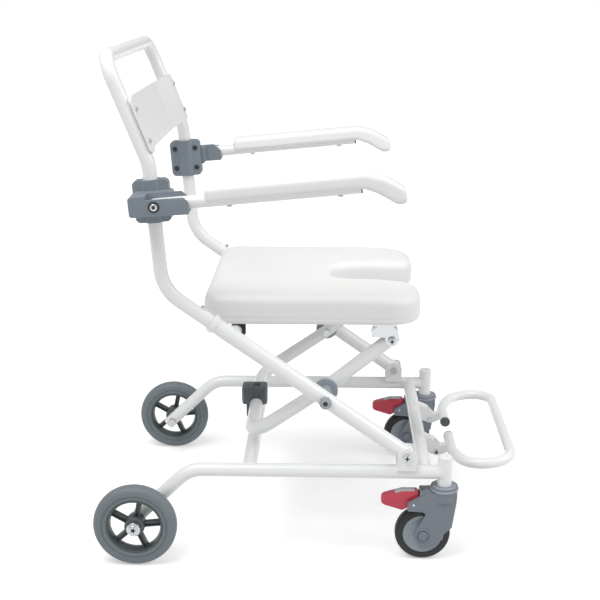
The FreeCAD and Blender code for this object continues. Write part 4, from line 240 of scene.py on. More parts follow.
# Cast polyurethane tread of the castors: near-black and satin.
TREAD_BLACK = Finish("cast_polyurethane_black", "#14171A", 0.5, 22, 0.1, 1.2, 0.05)
# Glass-filled nylon of the rear rims: dark green-grey with a soft sheen.
RIM_DARK = Finish("glass_filled_nylon_dark", "#4A5355", 0.38, 30, 0.06, 1.0, 0.03)
# Moulded ABS of the brake pedals: strong red with a light gloss.
PEDAL_RED = Finish("moulded_abs_red", "#BE2F45", 0.33, 35, 0.04, 1.2, 0.02, coat=0.2)
# Thermoplastic grip laid into the pedal: pale grey.
PEDAL_INSERT = Finish("overmoulded_grip_pale_grey", "#B4B6BA", 0.45, 20, 0.04, 1.0, 0.03)
# Zinc-plated steel of the fasteners: bright with fine drawn streaks.
ZINC_STEEL = Finish("zinc_plated_steel", "#C4C6C8", 0.3, 14, 0.08, 0.9, 0.012, metallic=1.0,
                    stretch=(1.0, 6.0, 1.0))
# Blackened steel of the clamp bolts.
BLACK_STEEL = Finish("black_oxide_steel", "#3A3D41", 0.4, 12, 0.1, 0.9, 0.015, metallic=0.8)
# Painted shade: the dark floor laid in a screw's drive recess, standing in for the shadow inside it.
RECESS_PAINTED_SHADE = Finish("greased_drive_recess", "#26282A", 0.5, 8, 0.1, 0.8, 0.01)
# Moulded polyethylene of the tube plugs.
PLUG_DARK = Finish("moulded_polyethylene_dark", "#62676A", 0.48, 15, 0.06, 0.9, 0.03)
# Silver-grey nylon of the ribbed caps on the crossing bolts.
CAP_GREY = Finish("moulded_nylon_silver_grey", "#A0A5A8", 0.36, 15, 0.05, 0.9, 0.02)
# Black polyethylene of the seat clips; the same black is painted shade in the latch's recess, in the
# castor crowns' slots and round the armrest bolts.
CLIP_BLACK_AND_PAINTED_SHADE = Finish("moulded_polyethylene_black", "#232527", 0.45, 15, 0.08, 0.9, 0.03)
# Natural nylon of the bushes.
BUSH_NYLON = Finish("natural_nylon", "#D9D6CC", 0.45, 15, 0.04, 0.9, 0.02)


# Meshes


def new_piece(name: str, bm: bmesh.types.BMesh, finish: Finish, smooth: bool = True) -> bpy.types.Object:
    """Turn a bmesh into an object at the origin with one finish.

    Args:
        name: The piece's name.
        bm: The shape, which is freed.
        finish: Its surface.
        smooth: Whether faces are shaded smooth below the sharp angle.

    Returns:
        The new object.
    """
    mesh = bpy.data.meshes.new(name)
    bm.to_mesh(mesh)
    bm.free()
    mesh.materials.append(finish.material())
    piece = bpy.data.objects.new(name, mesh)
    bpy.context.scene.collection.objects.link(piece)
    if smooth:
        mesh.shade_smooth()
        mesh.set_sharp_from_angle(angle=math.radians(PLAIN_SHARP))
    return piece


def plain(piece: bpy.types.Object, finish: Finish, sharp_angle: float = PLAIN_SHARP) -> bpy.types.Object:
    """Apply a piece's modifiers, so that a plain mesh under the same name is left.

    Args:
        piece: An object with live modifiers.
        finish: The surface that the result keeps.
        sharp_angle: Edges sharper than this many degrees stay crisp.

    Returns:
        The object that stands in the same place.
    """
    name = piece.name
    graph = bpy.context.evaluated_depsgraph_get()
    mesh = bpy.data.meshes.new_from_object(piece.evaluated_get(graph), depsgraph=graph)
    bpy.data.objects.remove(piece)
    mesh.name = name
    mesh.materials.clear()
    mesh.materials.append(finish.material())
    for polygon in mesh.polygons:
        polygon.material_index = 0
    result = bpy.data.objects.new(name, mesh)
    bpy.context.scene.collection.objects.link(result)
    mesh.shade_smooth()
    mesh.set_sharp_from_angle(angle=math.radians(sharp_angle))
    return result


def add_turned(bm: bmesh.types.BMesh, profile: Profile, centre: Vector, axis: Turning,
               segments: int = 72) -> None:
    """Add a shape turned from a closed profile to a bmesh.

    Args:
        bm: The bmesh that gets the shape.
        profile: Closed loop of (radius, position along the axis) in millimetres.
        centre: The centre in metres.
        axis: The axis that it goes round.
        segments: Faces round the axis.
    """
    rings = []
    for step in range(segments):
        angle = FULL_TURN * step / segments
        ring = []
        for radius, along in profile:
            across, up = radius * math.cos(angle) * MM, radius * math.sin(angle) * MM
            offset = (Vector((across, along * MM, up)) if axis is Turning.ACROSS
                      else Vector((across, up, along * MM)))
            ring.append(bm.verts.new(centre + offset))
        rings.append(ring)
    count = len(profile)
    for step in range(segments):
        here, there = rings[step], rings[(step + 1) % segments]
        for k in range(count):
            bm.faces.new((here[k], here[(k + 1) % count], there[(k + 1) % count], there[k]))


def turned(name: str, profiles: Iterable[Profile], centre: Vector, axis: Turning, finish: Finish,
           segments: int = 72) -> bpy.types.Object:
    """Turn closed profiles round one axis into a piece.

    Args:
        name: The piece's name.
        profiles: Closed loops of (radius, position along the axis) in millimetres.
        centre: The centre in metres.
        axis: The axis that they go round.
        finish: The surface.
        segments: Faces round the axis.

    Returns:
        The piece.
    """
    bm = bmesh.new()
    for profile in profiles:
        add_turned(bm, profile, centre, axis, segments)
    bmesh.ops.remove_doubles(bm, verts=bm.verts, dist=1e-6)
    bmesh.ops.recalc_face_normals(bm, faces=bm.faces)
    return new_piece(name, bm, finish)


def mirrored_profile(half: Profile) -> list[tuple[float, float]]:
    """Close a profile by reflecting its outer half across the middle plane.

    Args:
        half: Points with positions along the axis at or above zero.

    Returns:
        The whole loop.
    """
    return list(half) + [(radius, -along) for radius, along in reversed(half)]


def both_ends(profile: Profile) -> list[Profile]:
    """Pair a closed profile with its reflection across the middle plane.

    Args:
        profile: Closed loop of (radius, position along the axis).

    Returns:
        The loop and its reflection.
    """
    return [profile, [(radius, -along) for radius, along in profile]]


def on_side(profile: Profile, side: Side) -> list[tuple[float, float]]:
    """Turn a profile drawn for the left side to face outwards on either side.

    Args:
        profile: Closed loop of (radius, position along the axis).
        side: The side that it is for.

    Returns:
        The loop for that side.
    """
    return [(radius, along * side.value) for radius, along in profile]


def merged_copy(node: str) -> bmesh.types.BMesh:
    """Copy a frame node's mesh as joined faces.

    Args:
        node: The node's name.

    Returns:
        A bmesh whose flat areas are single faces.
    """
    bm = bmesh.new()
    bm.from_mesh(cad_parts[node].data)
    bmesh.ops.remove_doubles(bm, verts=bm.verts, dist=2e-6)
    bmesh.ops.dissolve_degenerate(bm, edges=bm.edges, dist=1e-6)
    bmesh.ops.dissolve_limit(bm, angle_limit=math.radians(1.0), verts=bm.verts, edges=bm.edges)
    return bm


def eased(name: str, node: str, width_mm: float, finish: Finish,
          cutter: bpy.types.Object | None = None) -> bpy.types.Object:
    """Give a moulded node the soft edges of the real moulding.

    Args:
        name: The new piece's name.
        node: The frame node whose shape it follows.
        width_mm: Width of the eased edges.
        finish: The surface.
        cutter: A solid that is cut away first, and deleted after.

    Returns:
        The piece, which still has to ride and replace the node.
    """
    piece = new_piece(name, merged_copy(node), finish, smooth=False)
    if cutter is not None:
        trim = piece.modifiers.new("trim", "BOOLEAN")
        trim.operation = "DIFFERENCE"
        trim.solver = "EXACT"
        trim.object = cutter
    bevel = piece.modifiers.new("ease", "BEVEL")
    bevel.limit_method = "ANGLE"
    bevel.angle_limit = math.radians(EASE_FROM)
    bevel.width = width_mm * MM
    bevel.segments = 3
    piece = plain(piece, finish, EASED_SHARP)
    if cutter is not None:
        bpy.data.objects.remove(cutter)
    return piece


def bar_between(bm: bmesh.types.BMesh, low: Vector, high: Vector, ease: float) -> None:
    """Add a box with eased edges to a bmesh.

    Args:
        bm: The bmesh that gets it.
        low: Lowest corner in metres.
        high: Highest corner in metres.
        ease: Width of the eased edges in metres.
    """
    made = bmesh.ops.create_cube(bm, size=1.0)["verts"]
    size, middle = high - low, (high + low) / 2
    for vert in made:
        vert.co = Vector((vert.co.x * size.x, vert.co.y * size.y, vert.co.z * size.z)) + middle
    edges = list({edge for vert in made for edge in vert.link_edges})
    bmesh.ops.bevel(bm, geom=edges, offset=ease, segments=2, affect="EDGES", profile=0.5)


# Geometry Nodes


def new_tree(name: str, sockets: Sequence[tuple[str, str]]) -> bpy.types.NodeTree:
    """Start a geometry tree with named inputs and one geometry output.

    Args:
        name: The tree's name.
        sockets: Input names with their socket types.

    Returns:
        The tree, with its group input and output nodes.
    """
    tree = bpy.data.node_groups.new(name, "GeometryNodeTree")
    for label, kind in sockets:
        tree.interface.new_socket(name=label, in_out="INPUT", socket_type=kind)
    tree.interface.new_socket(name="Geometry", in_out="OUTPUT", socket_type="NodeSocketGeometry")
    add_node(tree, "NodeGroupInput")
    add_node(tree, "NodeGroupOutput")
    return tree


def close_tree(tree: bpy.types.NodeTree, geometry: bpy.types.NodeSocket) -> None:
    """End a tree with real, finished geometry.

    Args:
        tree: A tree from new_tree with an input named Finish.
        geometry: The socket whose geometry it puts out.
    """
    start, end = tree.nodes["Group Input"], tree.nodes["Group Output"]
    real = add_node(tree, "GeometryNodeRealizeInstances", links={0: geometry})
    dressed = add_node(tree, "GeometryNodeSetMaterial", links={
        "Geometry": real.outputs[0], "Material": start.outputs["Finish"]})
    tree.links.new(dressed.outputs[0], end.inputs[0])


def close_with_copies(tree: bpy.types.NodeTree, points: bpy.types.NodeSocket,
                      links: dict | None = None) -> None:
    """End a tree with a copy of its Piece input on every point.

    Args:
        tree: A tree from new_tree with inputs named Piece and Finish.
        points: The socket with the points.
        links: The sockets that turn or size the copies.
    """
    piece = add_node(tree, "GeometryNodeObjectInfo",
                     links={"Object": tree.nodes["Group Input"].outputs["Piece"]})
    spread = add_node(tree, "GeometryNodeInstanceOnPoints", links={
        "Points": points, "Instance": piece.outputs["Geometry"], **(links or {})})
    close_tree(tree, spread.outputs[0])


def ring_tree() -> bpy.types.NodeTree:
    """Build the tree that repeats one piece round a shaft across the chair.

    Returns:
        The tree, with inputs Piece, Count, Centre, Start and Finish.
    """
    tree = new_tree("repeat_round_shaft", [
        ("Geometry", "NodeSocketGeometry"), ("Piece", "NodeSocketObject"), ("Count", "NodeSocketInt"),
        ("Centre", "NodeSocketVector"), ("Start", "NodeSocketFloat"), ("Finish", "NodeSocketMaterial")])
    start = tree.nodes["Group Input"]
    points = add_node(tree, "GeometryNodePoints", links={
        "Count": start.outputs["Count"], "Position": start.outputs["Centre"]})
    index = add_node(tree, "GeometryNodeInputIndex")
    step = add_node(tree, "ShaderNodeMath", {"operation": "DIVIDE", 0: FULL_TURN},
                    {1: start.outputs["Count"]})
    angle = add_node(tree, "ShaderNodeMath", {"operation": "MULTIPLY_ADD"}, {
        0: index.outputs[0], 1: step.outputs[0], 2: start.outputs["Start"]})
    turn = add_node(tree, "FunctionNodeAxisAngleToRotation", {"Axis": (0.0, -1.0, 0.0)},
                    {"Angle": angle.outputs[0]})
    close_with_copies(tree, points.outputs[0], {"Rotation": turn.outputs[0]})
    return tree


def row_tree() -> bpy.types.NodeTree:
    """Build the tree that repeats one piece in a straight row.

    Returns:
        The tree, with inputs Piece, Count, First, Step and Finish.
    """
    tree = new_tree("repeat_in_row", [
        ("Geometry", "NodeSocketGeometry"), ("Piece", "NodeSocketObject"), ("Count", "NodeSocketInt"),
        ("First", "NodeSocketVector"), ("Step", "NodeSocketVector"), ("Finish", "NodeSocketMaterial")])
    start = tree.nodes["Group Input"]
    line = add_node(tree, "GeometryNodeMeshLine", {"mode": "OFFSET"}, {
        "Count": start.outputs["Count"], "Start Location": start.outputs["First"],
        "Offset": start.outputs["Step"]})
    close_with_copies(tree, line.outputs[0])
    return tree


def fastener_tree() -> bpy.types.NodeTree:
    """Build the tree that seats one head on every marked point, facing the way it says.

    Returns:
        The tree, with inputs Geometry, Piece and Finish.
    """
    tree = new_tree("seat_fasteners", [
        ("Geometry", "NodeSocketGeometry"), ("Piece", "NodeSocketObject"),
        ("Finish", "NodeSocketMaterial")])
    start = tree.nodes["Group Input"]
    facing = add_node(tree, "GeometryNodeInputNamedAttribute",
                      {"data_type": "FLOAT_VECTOR", "Name": "facing"})
    size = add_node(tree, "GeometryNodeInputNamedAttribute", {"data_type": "FLOAT", "Name": "size"})
    turn = add_node(tree, "FunctionNodeAlignRotationToVector", {"axis": "Z"},
                    {"Vector": facing.outputs["Attribute"]})
    close_with_copies(tree, start.outputs["Geometry"],
                      {"Rotation": turn.outputs[0], "Scale": size.outputs["Attribute"]})
    return tree


def bead_tree() -> bpy.types.NodeTree:
    """Build the tree that lays a rippled weld bead along a path.

    Returns:
        The tree, with inputs Geometry, Ripple Spacing, Bead Radius and Finish.
    """
    tree = new_tree("weld_bead", [
        ("Geometry", "NodeSocketGeometry"), ("Ripple Spacing", "NodeSocketFloat"),
        ("Bead Radius", "NodeSocketFloat"), ("Finish", "NodeSocketMaterial")])
    start = tree.nodes["Group Input"]
    path = add_node(tree, "GeometryNodeResampleCurve", {"mode": "LENGTH"}, {
        "Curve": start.outputs["Geometry"], "Length": start.outputs["Ripple Spacing"]})
    index = add_node(tree, "GeometryNodeInputIndex")
    odd = add_node(tree, "ShaderNodeMath", {"operation": "MODULO", 1: 2.0}, {0: index.outputs[0]})
    swell = add_node(tree, "ShaderNodeMath", {"operation": "MULTIPLY_ADD", 1: 0.16, 2: 0.92},
                     {0: odd.outputs[0]})
    rippled = add_node(tree, "GeometryNodeSetCurveRadius", links={
        "Curve": path.outputs[0], "Radius": swell.outputs[0]})
    section = add_node(tree, "GeometryNodeCurvePrimitiveCircle", {"Resolution": 8},
                       {"Radius": start.outputs["Bead Radius"]})
    bead = add_node(tree, "GeometryNodeCurveToMesh", links={
        "Curve": rippled.outputs[0], "Profile Curve": section.outputs[0]})
    close_tree(tree, bead.outputs[0])
    return tree


def grow(name: str, tree: bpy.types.NodeTree, inputs: dict, finish: Finish,
         carrier: bpy.types.ID | None = None) -> bpy.types.Object:
    """Run a geometry tree and keep the result as a plain mesh. A Piece input is deleted after.

    Args:
        name: The piece's name.
        tree: One of the trees above.
        inputs: Input names with their values.
        finish: The surface, which is also the tree's Finish input.
        carrier: Mesh or curve data that the tree starts from, or none for a tree that needs none.

    Returns:
        The piece.
    """
    piece = bpy.data.objects.new(name, carrier or bpy.data.meshes.new("empty"))
    bpy.context.scene.collection.objects.link(piece)
    modifier = piece.modifiers.new("grow", "NODES")
    modifier.node_group = tree
    values = {**inputs, "Finish": finish.material()}
    for item in tree.interface.items_tree:
        if item.item_type == "SOCKET" and item.in_out == "INPUT" and item.name in values:
            modifier[item.identifier] = values[item.name]
    result = plain(piece, finish)
    if "Piece" in inputs:
        bpy.data.objects.remove(inputs["Piece"])
    return result


@dataclass
class Trees:
    """The geometry trees, built once."""

    ring: bpy.types.NodeTree = field(default_factory=ring_tree)
    row: bpy.types.NodeTree = field(default_factory=row_tree)
    fastener: bpy.types.NodeTree = field(default_factory=fastener_tree)
    bead: bpy.types.NodeTree = field(default_factory=bead_tree)


def seat_on(piece: bpy.types.Object, body: str, nodes: Sequence[str] = ()) -> bpy.types.Object:
    """Make a piece ride on a body and stand for nodes.

    Args:
        piece: The finished piece.
        body: The body that it moves with.
        nodes: The nodes that it stands for.

    Returns:
        The piece.
    """
    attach(piece, body)
    if nodes:
        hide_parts(*nodes)
    log.info("%s rides on %s", piece.name, body)
    return piece


# Sub-assemblies


@dataclass
class SteelFrame:
    """Powder-coated tubes, brackets and the weld beads that join them. Sizes in millimetres."""

    tube_radius: float = 12.5
    side: float = 230.0
    base_z: float = 167.0
    front_bar_x: float = 208.0
    rear_bar_x: float = -107.0
    stem: tuple[float, float] = (243.0, 13.0)
    rest: tuple[float, float, float] = (-129.98, 415.43, 11.0)
    leg_radius: float = 14.0
    leg_angle: float = 35.2
    bead_radius: float = 1.5
    ripple: float = 1.6
    bead_points: int = 96
    white: tuple[str, ...] = (
        "base_tube_right", "base_tube_left", "stem_tubes", "stem_caps", "front_crossbar",
        "rear_crossbar", "fold_brackets", "footrest_brackets", "footrest_loop", "lower_leg_right",
        "lower_leg_left", "seat_rest_tube", "seat_frame_tube", "back_tube", "armrest_tube_right",
        "armrest_tube_left")

    def dress(self) -> None:
        """Give the tubes and brackets their powder coat."""
        for node in self.white:
            dress_node(node, POWDER_WHITE)

    def bead(self, trees: Trees, name: str, points: Sequence[Vector]) -> bpy.types.Object:
        """Lay one closed bead.

        Args:
            trees: The geometry trees.
            name: The piece's name.
            points: Points of the closed path, in millimetres.

        Returns:
            The bead.
        """
        curve = bpy.data.curves.new(name, "CURVE")
        curve.dimensions = "3D"
        spline = curve.splines.new("POLY")
        spline.points.add(len(points) - 1)
        for target, point in zip(spline.points, points):
            target.co = (*(point * MM), 1.0)
        spline.use_cyclic_u = True
        return grow(name, trees.bead, {"Ripple Spacing": self.ripple * MM,
                                       "Bead Radius": self.bead_radius * MM}, POWDER_WHITE, curve)

    def weld(self, trees: Trees) -> None:
        """Lay beads where crossbars meet side tubes, side tubes meet stems, and rest meets legs.

        Args:
            trees: The geometry trees.
        """
        angles = [FULL_TURN * k / self.bead_points for k in range(self.bead_points)]
        radius = self.tube_radius
        for side in Side:
            y = side.value * self.side
            for word, x in (("front", self.front_bar_x), ("rear", self.rear_bar_x)):
                path = [Vector((x + radius * math.cos(a),
                                y - side.value * radius * abs(math.cos(a)),
                                self.base_z + radius * math.sin(a))) for a in angles]
                seat_on(self.bead(trees, f"{word}_crossbar_weld_{side.word}", path),
                        "base_frame")
            stem_x, stem_radius = self.stem
            path = [Vector((stem_x - math.sqrt(stem_radius ** 2 - (radius * math.cos(a)) ** 2),
                            y + radius * math.cos(a), self.base_z + radius * math.sin(a)))
                    for a in angles]
            seat_on(self.bead(trees, f"stem_weld_{side.word}", path), "base_frame")
            rest_x, rest_z, rest_radius = self.rest
            lean = math.radians(180 - self.leg_angle)
            path = []
            for a in angles:
                off_axis = rest_radius * math.sin(a - lean)
                reach = math.sqrt(self.leg_radius ** 2 - off_axis ** 2)
                path.append(Vector((rest_x + rest_radius * math.cos(a), y - side.value * reach,
                                    rest_z + rest_radius * math.sin(a))))
            seat_on(self.bead(trees, f"seat_rest_weld_{side.word}", path), "lower_frame")


def dress_node(node: str, finish: Finish) -> None:
    """Put a finish on a frame node that keeps its own shape.

    Args:
        node: The node's name.
        finish: The surface.
    """
    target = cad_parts[node]
    if not target.material_slots:
        target.data.materials.append(finish.material())
    for slot in target.material_slots:
        slot.material = finish.material()
    log.info("%s dressed as %s", node, finish.name)


@dataclass
class MouldedPad:
    """A foam pad with a moulded skin that follows a soft node and softens it."""

    name: str
    node: str
    body: str
    voxel_mm: float
    fill: float
    smoothing: int = 6

    def shape(self, point: Vector) -> Vector:
        """Move one point of the pad from the plain solid to the moulded form.

        Args:
            point: A surface point in metres.

        Returns:
            The moved point.
        """
        return point

    def groove(self, point: Vector, normal: Vector) -> Vector:
        """Sink the parting line of the mould into the skin.

        Args:
            point: A surface point in metres.
            normal: Its unit normal.

        Returns:
            The moved point.
        """
        return point

    def build(self) -> bpy.types.Object:
        """Remesh, form, smooth and subdivide the pad.

        Returns:
            The finished pad, riding on its body.
        """
        piece = new_piece(self.name, merged_copy(self.node), FOAM_SKIN, smooth=False)
        remesh = piece.modifiers.new("skin", "REMESH")
        remesh.mode = "VOXEL"
        remesh.voxel_size = self.voxel_mm * MM
        piece = plain(piece, FOAM_SKIN, 180.0)
        for vert in piece.data.vertices:
            vert.co = self.shape(vert.co)
        smooth = piece.modifiers.new("soften", "SMOOTH")
        smooth.factor = 0.5
        smooth.iterations = self.smoothing
        divide = piece.modifiers.new("refine", "SUBSURF")
        divide.levels = divide.render_levels = 1
        piece = plain(piece, FOAM_SKIN, 180.0)
        normals = [vert.normal.copy() for vert in piece.data.vertices]
        for vert, normal in zip(piece.data.vertices, normals):
            vert.co = self.groove(vert.co, normal)
        seat_on(piece, self.body, [self.node])
        return piece


@dataclass
class SeatPad(MouldedPad):
    """The open-front seat: lightly dished, with its front arms rolled down. Sizes in metres."""

    top: float = 0.481
    bottom: float = 0.428
    dish: float = 0.005
    dish_x: float = -0.045
    dish_reach: tuple[float, float] = (0.12, 0.14)
    arm_fall: float = 0.006
    arm_start: float = 0.08
    front: float = 0.198
    line: float = 0.4405
    line_half: float = 0.0022
    line_depth: float = 0.0009

    def shape(self, point: Vector) -> Vector:
        """Dish the upper face and let the front arms fall away.

        Args:
            point: A surface point in metres.

        Returns:
            The moved point.
        """
        lift = max(0.0, min(1.0, (point.z - self.bottom) / (self.top - self.bottom)))
        weight = lift * lift
        across, along = self.dish_reach[1], self.dish_reach[0]
        hollow = math.exp(-((point.x - self.dish_x) / along) ** 2 - (point.y / across) ** 2)
        fall = max(0.0, (point.x - self.arm_start) / (self.front - self.arm_start)) ** 2
        return Vector((point.x, point.y, point.z - weight * (self.dish * hollow + self.arm_fall * fall)))

    def groove(self, point: Vector, normal: Vector) -> Vector:
        """Sink a fine parting line round the side wall.

        Args:
            point: A surface point in metres.
            normal: Its unit normal.

        Returns:
            The moved point.
        """
        nearness = 1 - abs(point.z - self.line) / self.line_half
        if nearness <= 0 or abs(normal.z) > 0.5:
            return point
        return point - normal * self.line_depth * min(1.0, nearness * 1.5)


@dataclass
class ArmPad(MouldedPad):
    """An armrest pad whose front end droops into a grip. Sizes in metres."""

    side: Side = Side.RIGHT
    middle_y: float = 0.280
    pivot: tuple[float, float] = (ARM_PIVOT[0] * MM, ARM_PIVOT[1] * MM)
    rise: float = 5.5
    crown: float = 0.0025
    crown_low: float = 0.004
    crown_reach: float = 0.018
    half_width: float = 0.025

    def shape(self, point: Vector) -> Vector:
        """Crown the upper face gently across its width.

        Args:
            point: A surface point in metres.

        Returns:
            The moved point.
        """
        across = (point.y - self.side.value * self.middle_y) / self.half_width
        rise = math.radians(self.rise)
        height = ((point.z - self.pivot[1]) * math.cos(rise)
                  - (point.x - self.pivot[0]) * math.sin(rise))
        lift = max(0.0, min(1.0, (height - self.crown_low) / self.crown_reach))
        return Vector((point.x, point.y, point.z - self.crown * across * across * lift))


@dataclass
class RearWheel:
    """A solid grey tyre on a dark five-spoke rim with a bright hub cap. Sizes in millimetres."""

    side: Side
    trees: Trees
    middle: float = 266.0
    spokes: int = 5
    first_spoke: float = 6.0
    spoke_inner: float = 16.0
    spoke_outer: float = 46.0
    spoke_half: float = 4.6
    rib: float = 2.1
    rib_half_depth: float = 6.0
    web_half_depth: float = 1.8
    web_inset: float = 0.3
    web_ease: float = 0.2
    rib_ease: float = 0.5
    tyre_half: Profile = (
        (51.0, 12.0), (52.6, 13.4), (56.3, 13.9), (57.2, 12.5), (59.6, 12.5), (60.5, 14.0),
        (66.5, 14.0), (70.2, 12.9), (72.9, 10.4), (74.4, 7.0), (75.0, 3.0), (75.0, 0.0))
    rim_half: Profile = (
        (51.0, 0.0), (51.0, 12.0), (50.4, 12.8), (48.2, 12.8), (47.4, 11.8), (46.6, 9.0),
        (45.0, 4.0), (44.6, 0.0))
    hub_half: Profile = (
        (10.0, 0.0), (10.0, 14.0), (16.2, 14.0), (17.4, 13.2), (18.0, 11.5), (18.4, 0.0))

    @property
    def centre(self) -> Vector:
        """The wheel's middle in metres."""
        return Vector((REAR_AXLE[0], self.side.value * self.middle, REAR_AXLE[1])) * MM

    def spoke(self) -> bpy.types.Object:
        """Model one spoke along X at the origin: a thin web between two ribs.

        Returns:
            The spoke, for the ring tree to repeat.
        """
        bm = bmesh.new()
        half, depth = self.spoke_half * MM, self.rib_half_depth * MM
        inner, outer = self.spoke_inner * MM, self.spoke_outer * MM
        web, web_half = self.web_half_depth * MM, half - self.web_inset * MM
        bar_between(bm, Vector((inner, -web, -web_half)), Vector((outer, web, web_half)),
                    self.web_ease * MM)
        for edge in (-1, 1):
            near, far = sorted((edge * half, edge * (half - self.rib * MM)))
            bar_between(bm, Vector((inner, -depth, near)), Vector((outer, depth, far)),
                        self.rib_ease * MM)
        return new_piece("spoke_pattern", bm, RIM_DARK)

    def build(self) -> None:
        """Build the tyre and rim and dress the bushes."""
        word, body = self.side.word, f"rear_wheel_{self.side.word}"
        tyre = turned(f"rear_tyre_grey_{word}", [mirrored_profile(self.tyre_half)], self.centre,
                      Turning.ACROSS, TYRE_GREY, 128)
        seat_on(tyre, body, [f"rear_tyre_{word}"])
        rim = turned(f"rear_rim_ring_{word}",
                     [mirrored_profile(self.rim_half), mirrored_profile(self.hub_half)], self.centre,
                     Turning.ACROSS, RIM_DARK, 96)
        seat_on(rim, body, [f"rear_rim_{word}"])
        spokes = grow(f"rear_rim_spokes_{word}", self.trees.ring, {
            "Piece": self.spoke(), "Count": self.spokes, "Centre": self.centre,
            "Start": math.radians(self.first_spoke)}, RIM_DARK)
        seat_on(spokes, body, [f"rear_rim_{word}"])
        dress_node(f"rear_bushes_{word}", BUSH_NYLON)


@dataclass
class Caster:
    """A moulded fork, a black-treaded wheel and a red brake pedal. Sizes in millimetres."""

    side: Side
    kingpin_x: float = 243.0
    axle: tuple[float, float] = (206.0, 50.0)
    middle: float = 230.0
    tread_half: Profile = (
        (36.0, 12.0), (42.5, 12.0), (44.0, 11.2), (46.8, 10.6), (48.9, 8.2), (49.8, 4.5), (50.0, 0.0))
    hub_half: Profile = (
        (4.05, 0.0), (4.05, 13.0), (11.4, 13.0), (12.2, 12.2), (12.4, 10.4), (14.0, 9.6),
        (28.0, 9.6), (29.4, 10.6), (32.6, 10.6), (33.6, 11.4), (35.4, 11.4), (36.0, 10.8), (36.0, 0.0))
    collar: Profile = (
        (10.5, 134.0), (24.9, 134.0), (25.8, 134.8), (25.8, 137.0), (24.6, 138.0), (22.2, 138.2),
        (21.8, 139.0), (21.8, 140.8), (21.2, 141.6), (10.5, 141.6))
    axle_cap: Profile = (
        (0.0, 19.0), (8.6, 19.0), (8.6, 22.0), (7.8, 22.9), (6.2, 22.9), (5.6, 22.3), (4.4, 22.3),
        (3.8, 22.9), (0.0, 22.9))
    pedal_tip: tuple[float, float] = (130.0, 121.0)
    pedal_bend: tuple[float, float] = (168.0, 132.0)
    grip_ends: tuple[float, float] = (155.0, 190.0)
    shroud_ends: tuple[float, float] = (199.0, 224.0)
    shroud_low: float = 114.0
    shroud_high: float = 134.0
    shroud_half: float = 16.0
    shroud_ease: float = 2.2
    # A dark block on the crown's top paints the shade inside its slot.
    slot_x: float = 204.0
    slot_half: tuple[float, float] = (0.9, 7.5)
    slot_sink: float = 0.6
    slot_rise: float = 0.5
    slot_ease: float = 0.3
    grip_half_width: float = 7.6
    grip_rise: float = 1.1
    grip_sink: float = 0.8
    grip_ease: float = 0.5
    grip_bend: tuple[float, float] = (2.0, 1.5)
    pedal_ease: float = 1.2
    fork_cut: tuple[tuple[float, float], ...] = (
        (268.0, 78.0), (243.0, 53.0), (239.0, 20.0), (275.0, 20.0), (275.0, 78.0))
    fork_cut_half: float = 24.0
    fork_ease: float = 1.4
    eye_ring: Profile = (
        (10.0, 18.8), (13.4, 18.8), (13.4, 19.9), (12.6, 20.6), (10.8, 20.6), (10.0, 19.9))

    def at(self, x: float, z: float) -> Vector:
        """A point on the caster's middle plane.

        Args:
            x: Along the chair.
            z: Above the floor.

        Returns:
            The point in metres.
        """
        return Vector((x, self.side.value * self.middle, z)) * MM

    def build(self) -> None:
        """Build the fork, the swivel rings, the wheel and the pedal."""
        word = self.side.word
        fork_body, wheel_body = f"caster_{word}", f"caster_wheel_{word}"
        seat_on(self.fork(), fork_body, [f"caster_fork_{word}"])
        rings = turned(f"caster_swivel_rings_{word}", [self.collar], self.at(self.kingpin_x, 0.0),
                       Turning.UPRIGHT, HUB_GREY)
        seat_on(rings, fork_body)
        for name, profiles, finish, segments, body, slot, nodes in (
                ("fork_eyes", both_ends(self.eye_ring), FORK_GREY, 64, fork_body, "fork_grey", []),
                ("axle_caps", both_ends(self.axle_cap), FORK_GREY, 48, fork_body, "fork_grey", []),
                ("tread_ring", [mirrored_profile(self.tread_half)], TREAD_BLACK, 112, wheel_body,
                 "tread_black", [f"caster_tread_{word}"]),
                ("hub_disc", [mirrored_profile(self.hub_half)], HUB_GREY, 96, wheel_body,
                 "hub_grey", [f"caster_hub_{word}"])):
            piece = turned(f"caster_{name}_{word}", profiles, self.at(*self.axle), Turning.ACROSS,
                           finish, segments)
            seat_on(piece, body, nodes)
        dress_node(f"caster_pins_{word}", ZINC_STEEL)
        self.pedal()
        self.shroud()

    def slab(self, outline: Profile, half_width: float) -> bmesh.types.BMesh:
        """Extrude an outline of the middle plane to both sides.

        Args:
            outline: Points as (along the chair, above the floor).
            half_width: How far it reaches to each side.

        Returns:
            The closed slab.
        """
        bm = bmesh.new()
        walls = [[bm.verts.new(self.at(x, z) + Vector((0.0, across * half_width * MM, 0.0)))
                  for x, z in outline] for across in (-1, 1)]
        count = len(outline)
        for k in range(count):
            n = (k + 1) % count
            bm.faces.new((walls[0][k], walls[0][n], walls[1][n], walls[1][k]))
        for wall in walls:
            bm.faces.new(wall)
        bmesh.ops.recalc_face_normals(bm, faces=bm.faces)
        return bm

    def fork(self) -> bpy.types.Object:
        """Model the fork with the slanted front edge that leaves the wheel's lower front bare.

        Returns:
            The fork, which still has to ride.
        """
        cutter = new_piece("fork_cutter", self.slab(self.fork_cut, self.fork_cut_half), FORK_GREY,
                           smooth=False)
        return eased(f"caster_fork_moulding_{self.side.word}", f"caster_fork_{self.side.word}",
                     self.fork_ease, FORK_GREY, cutter)

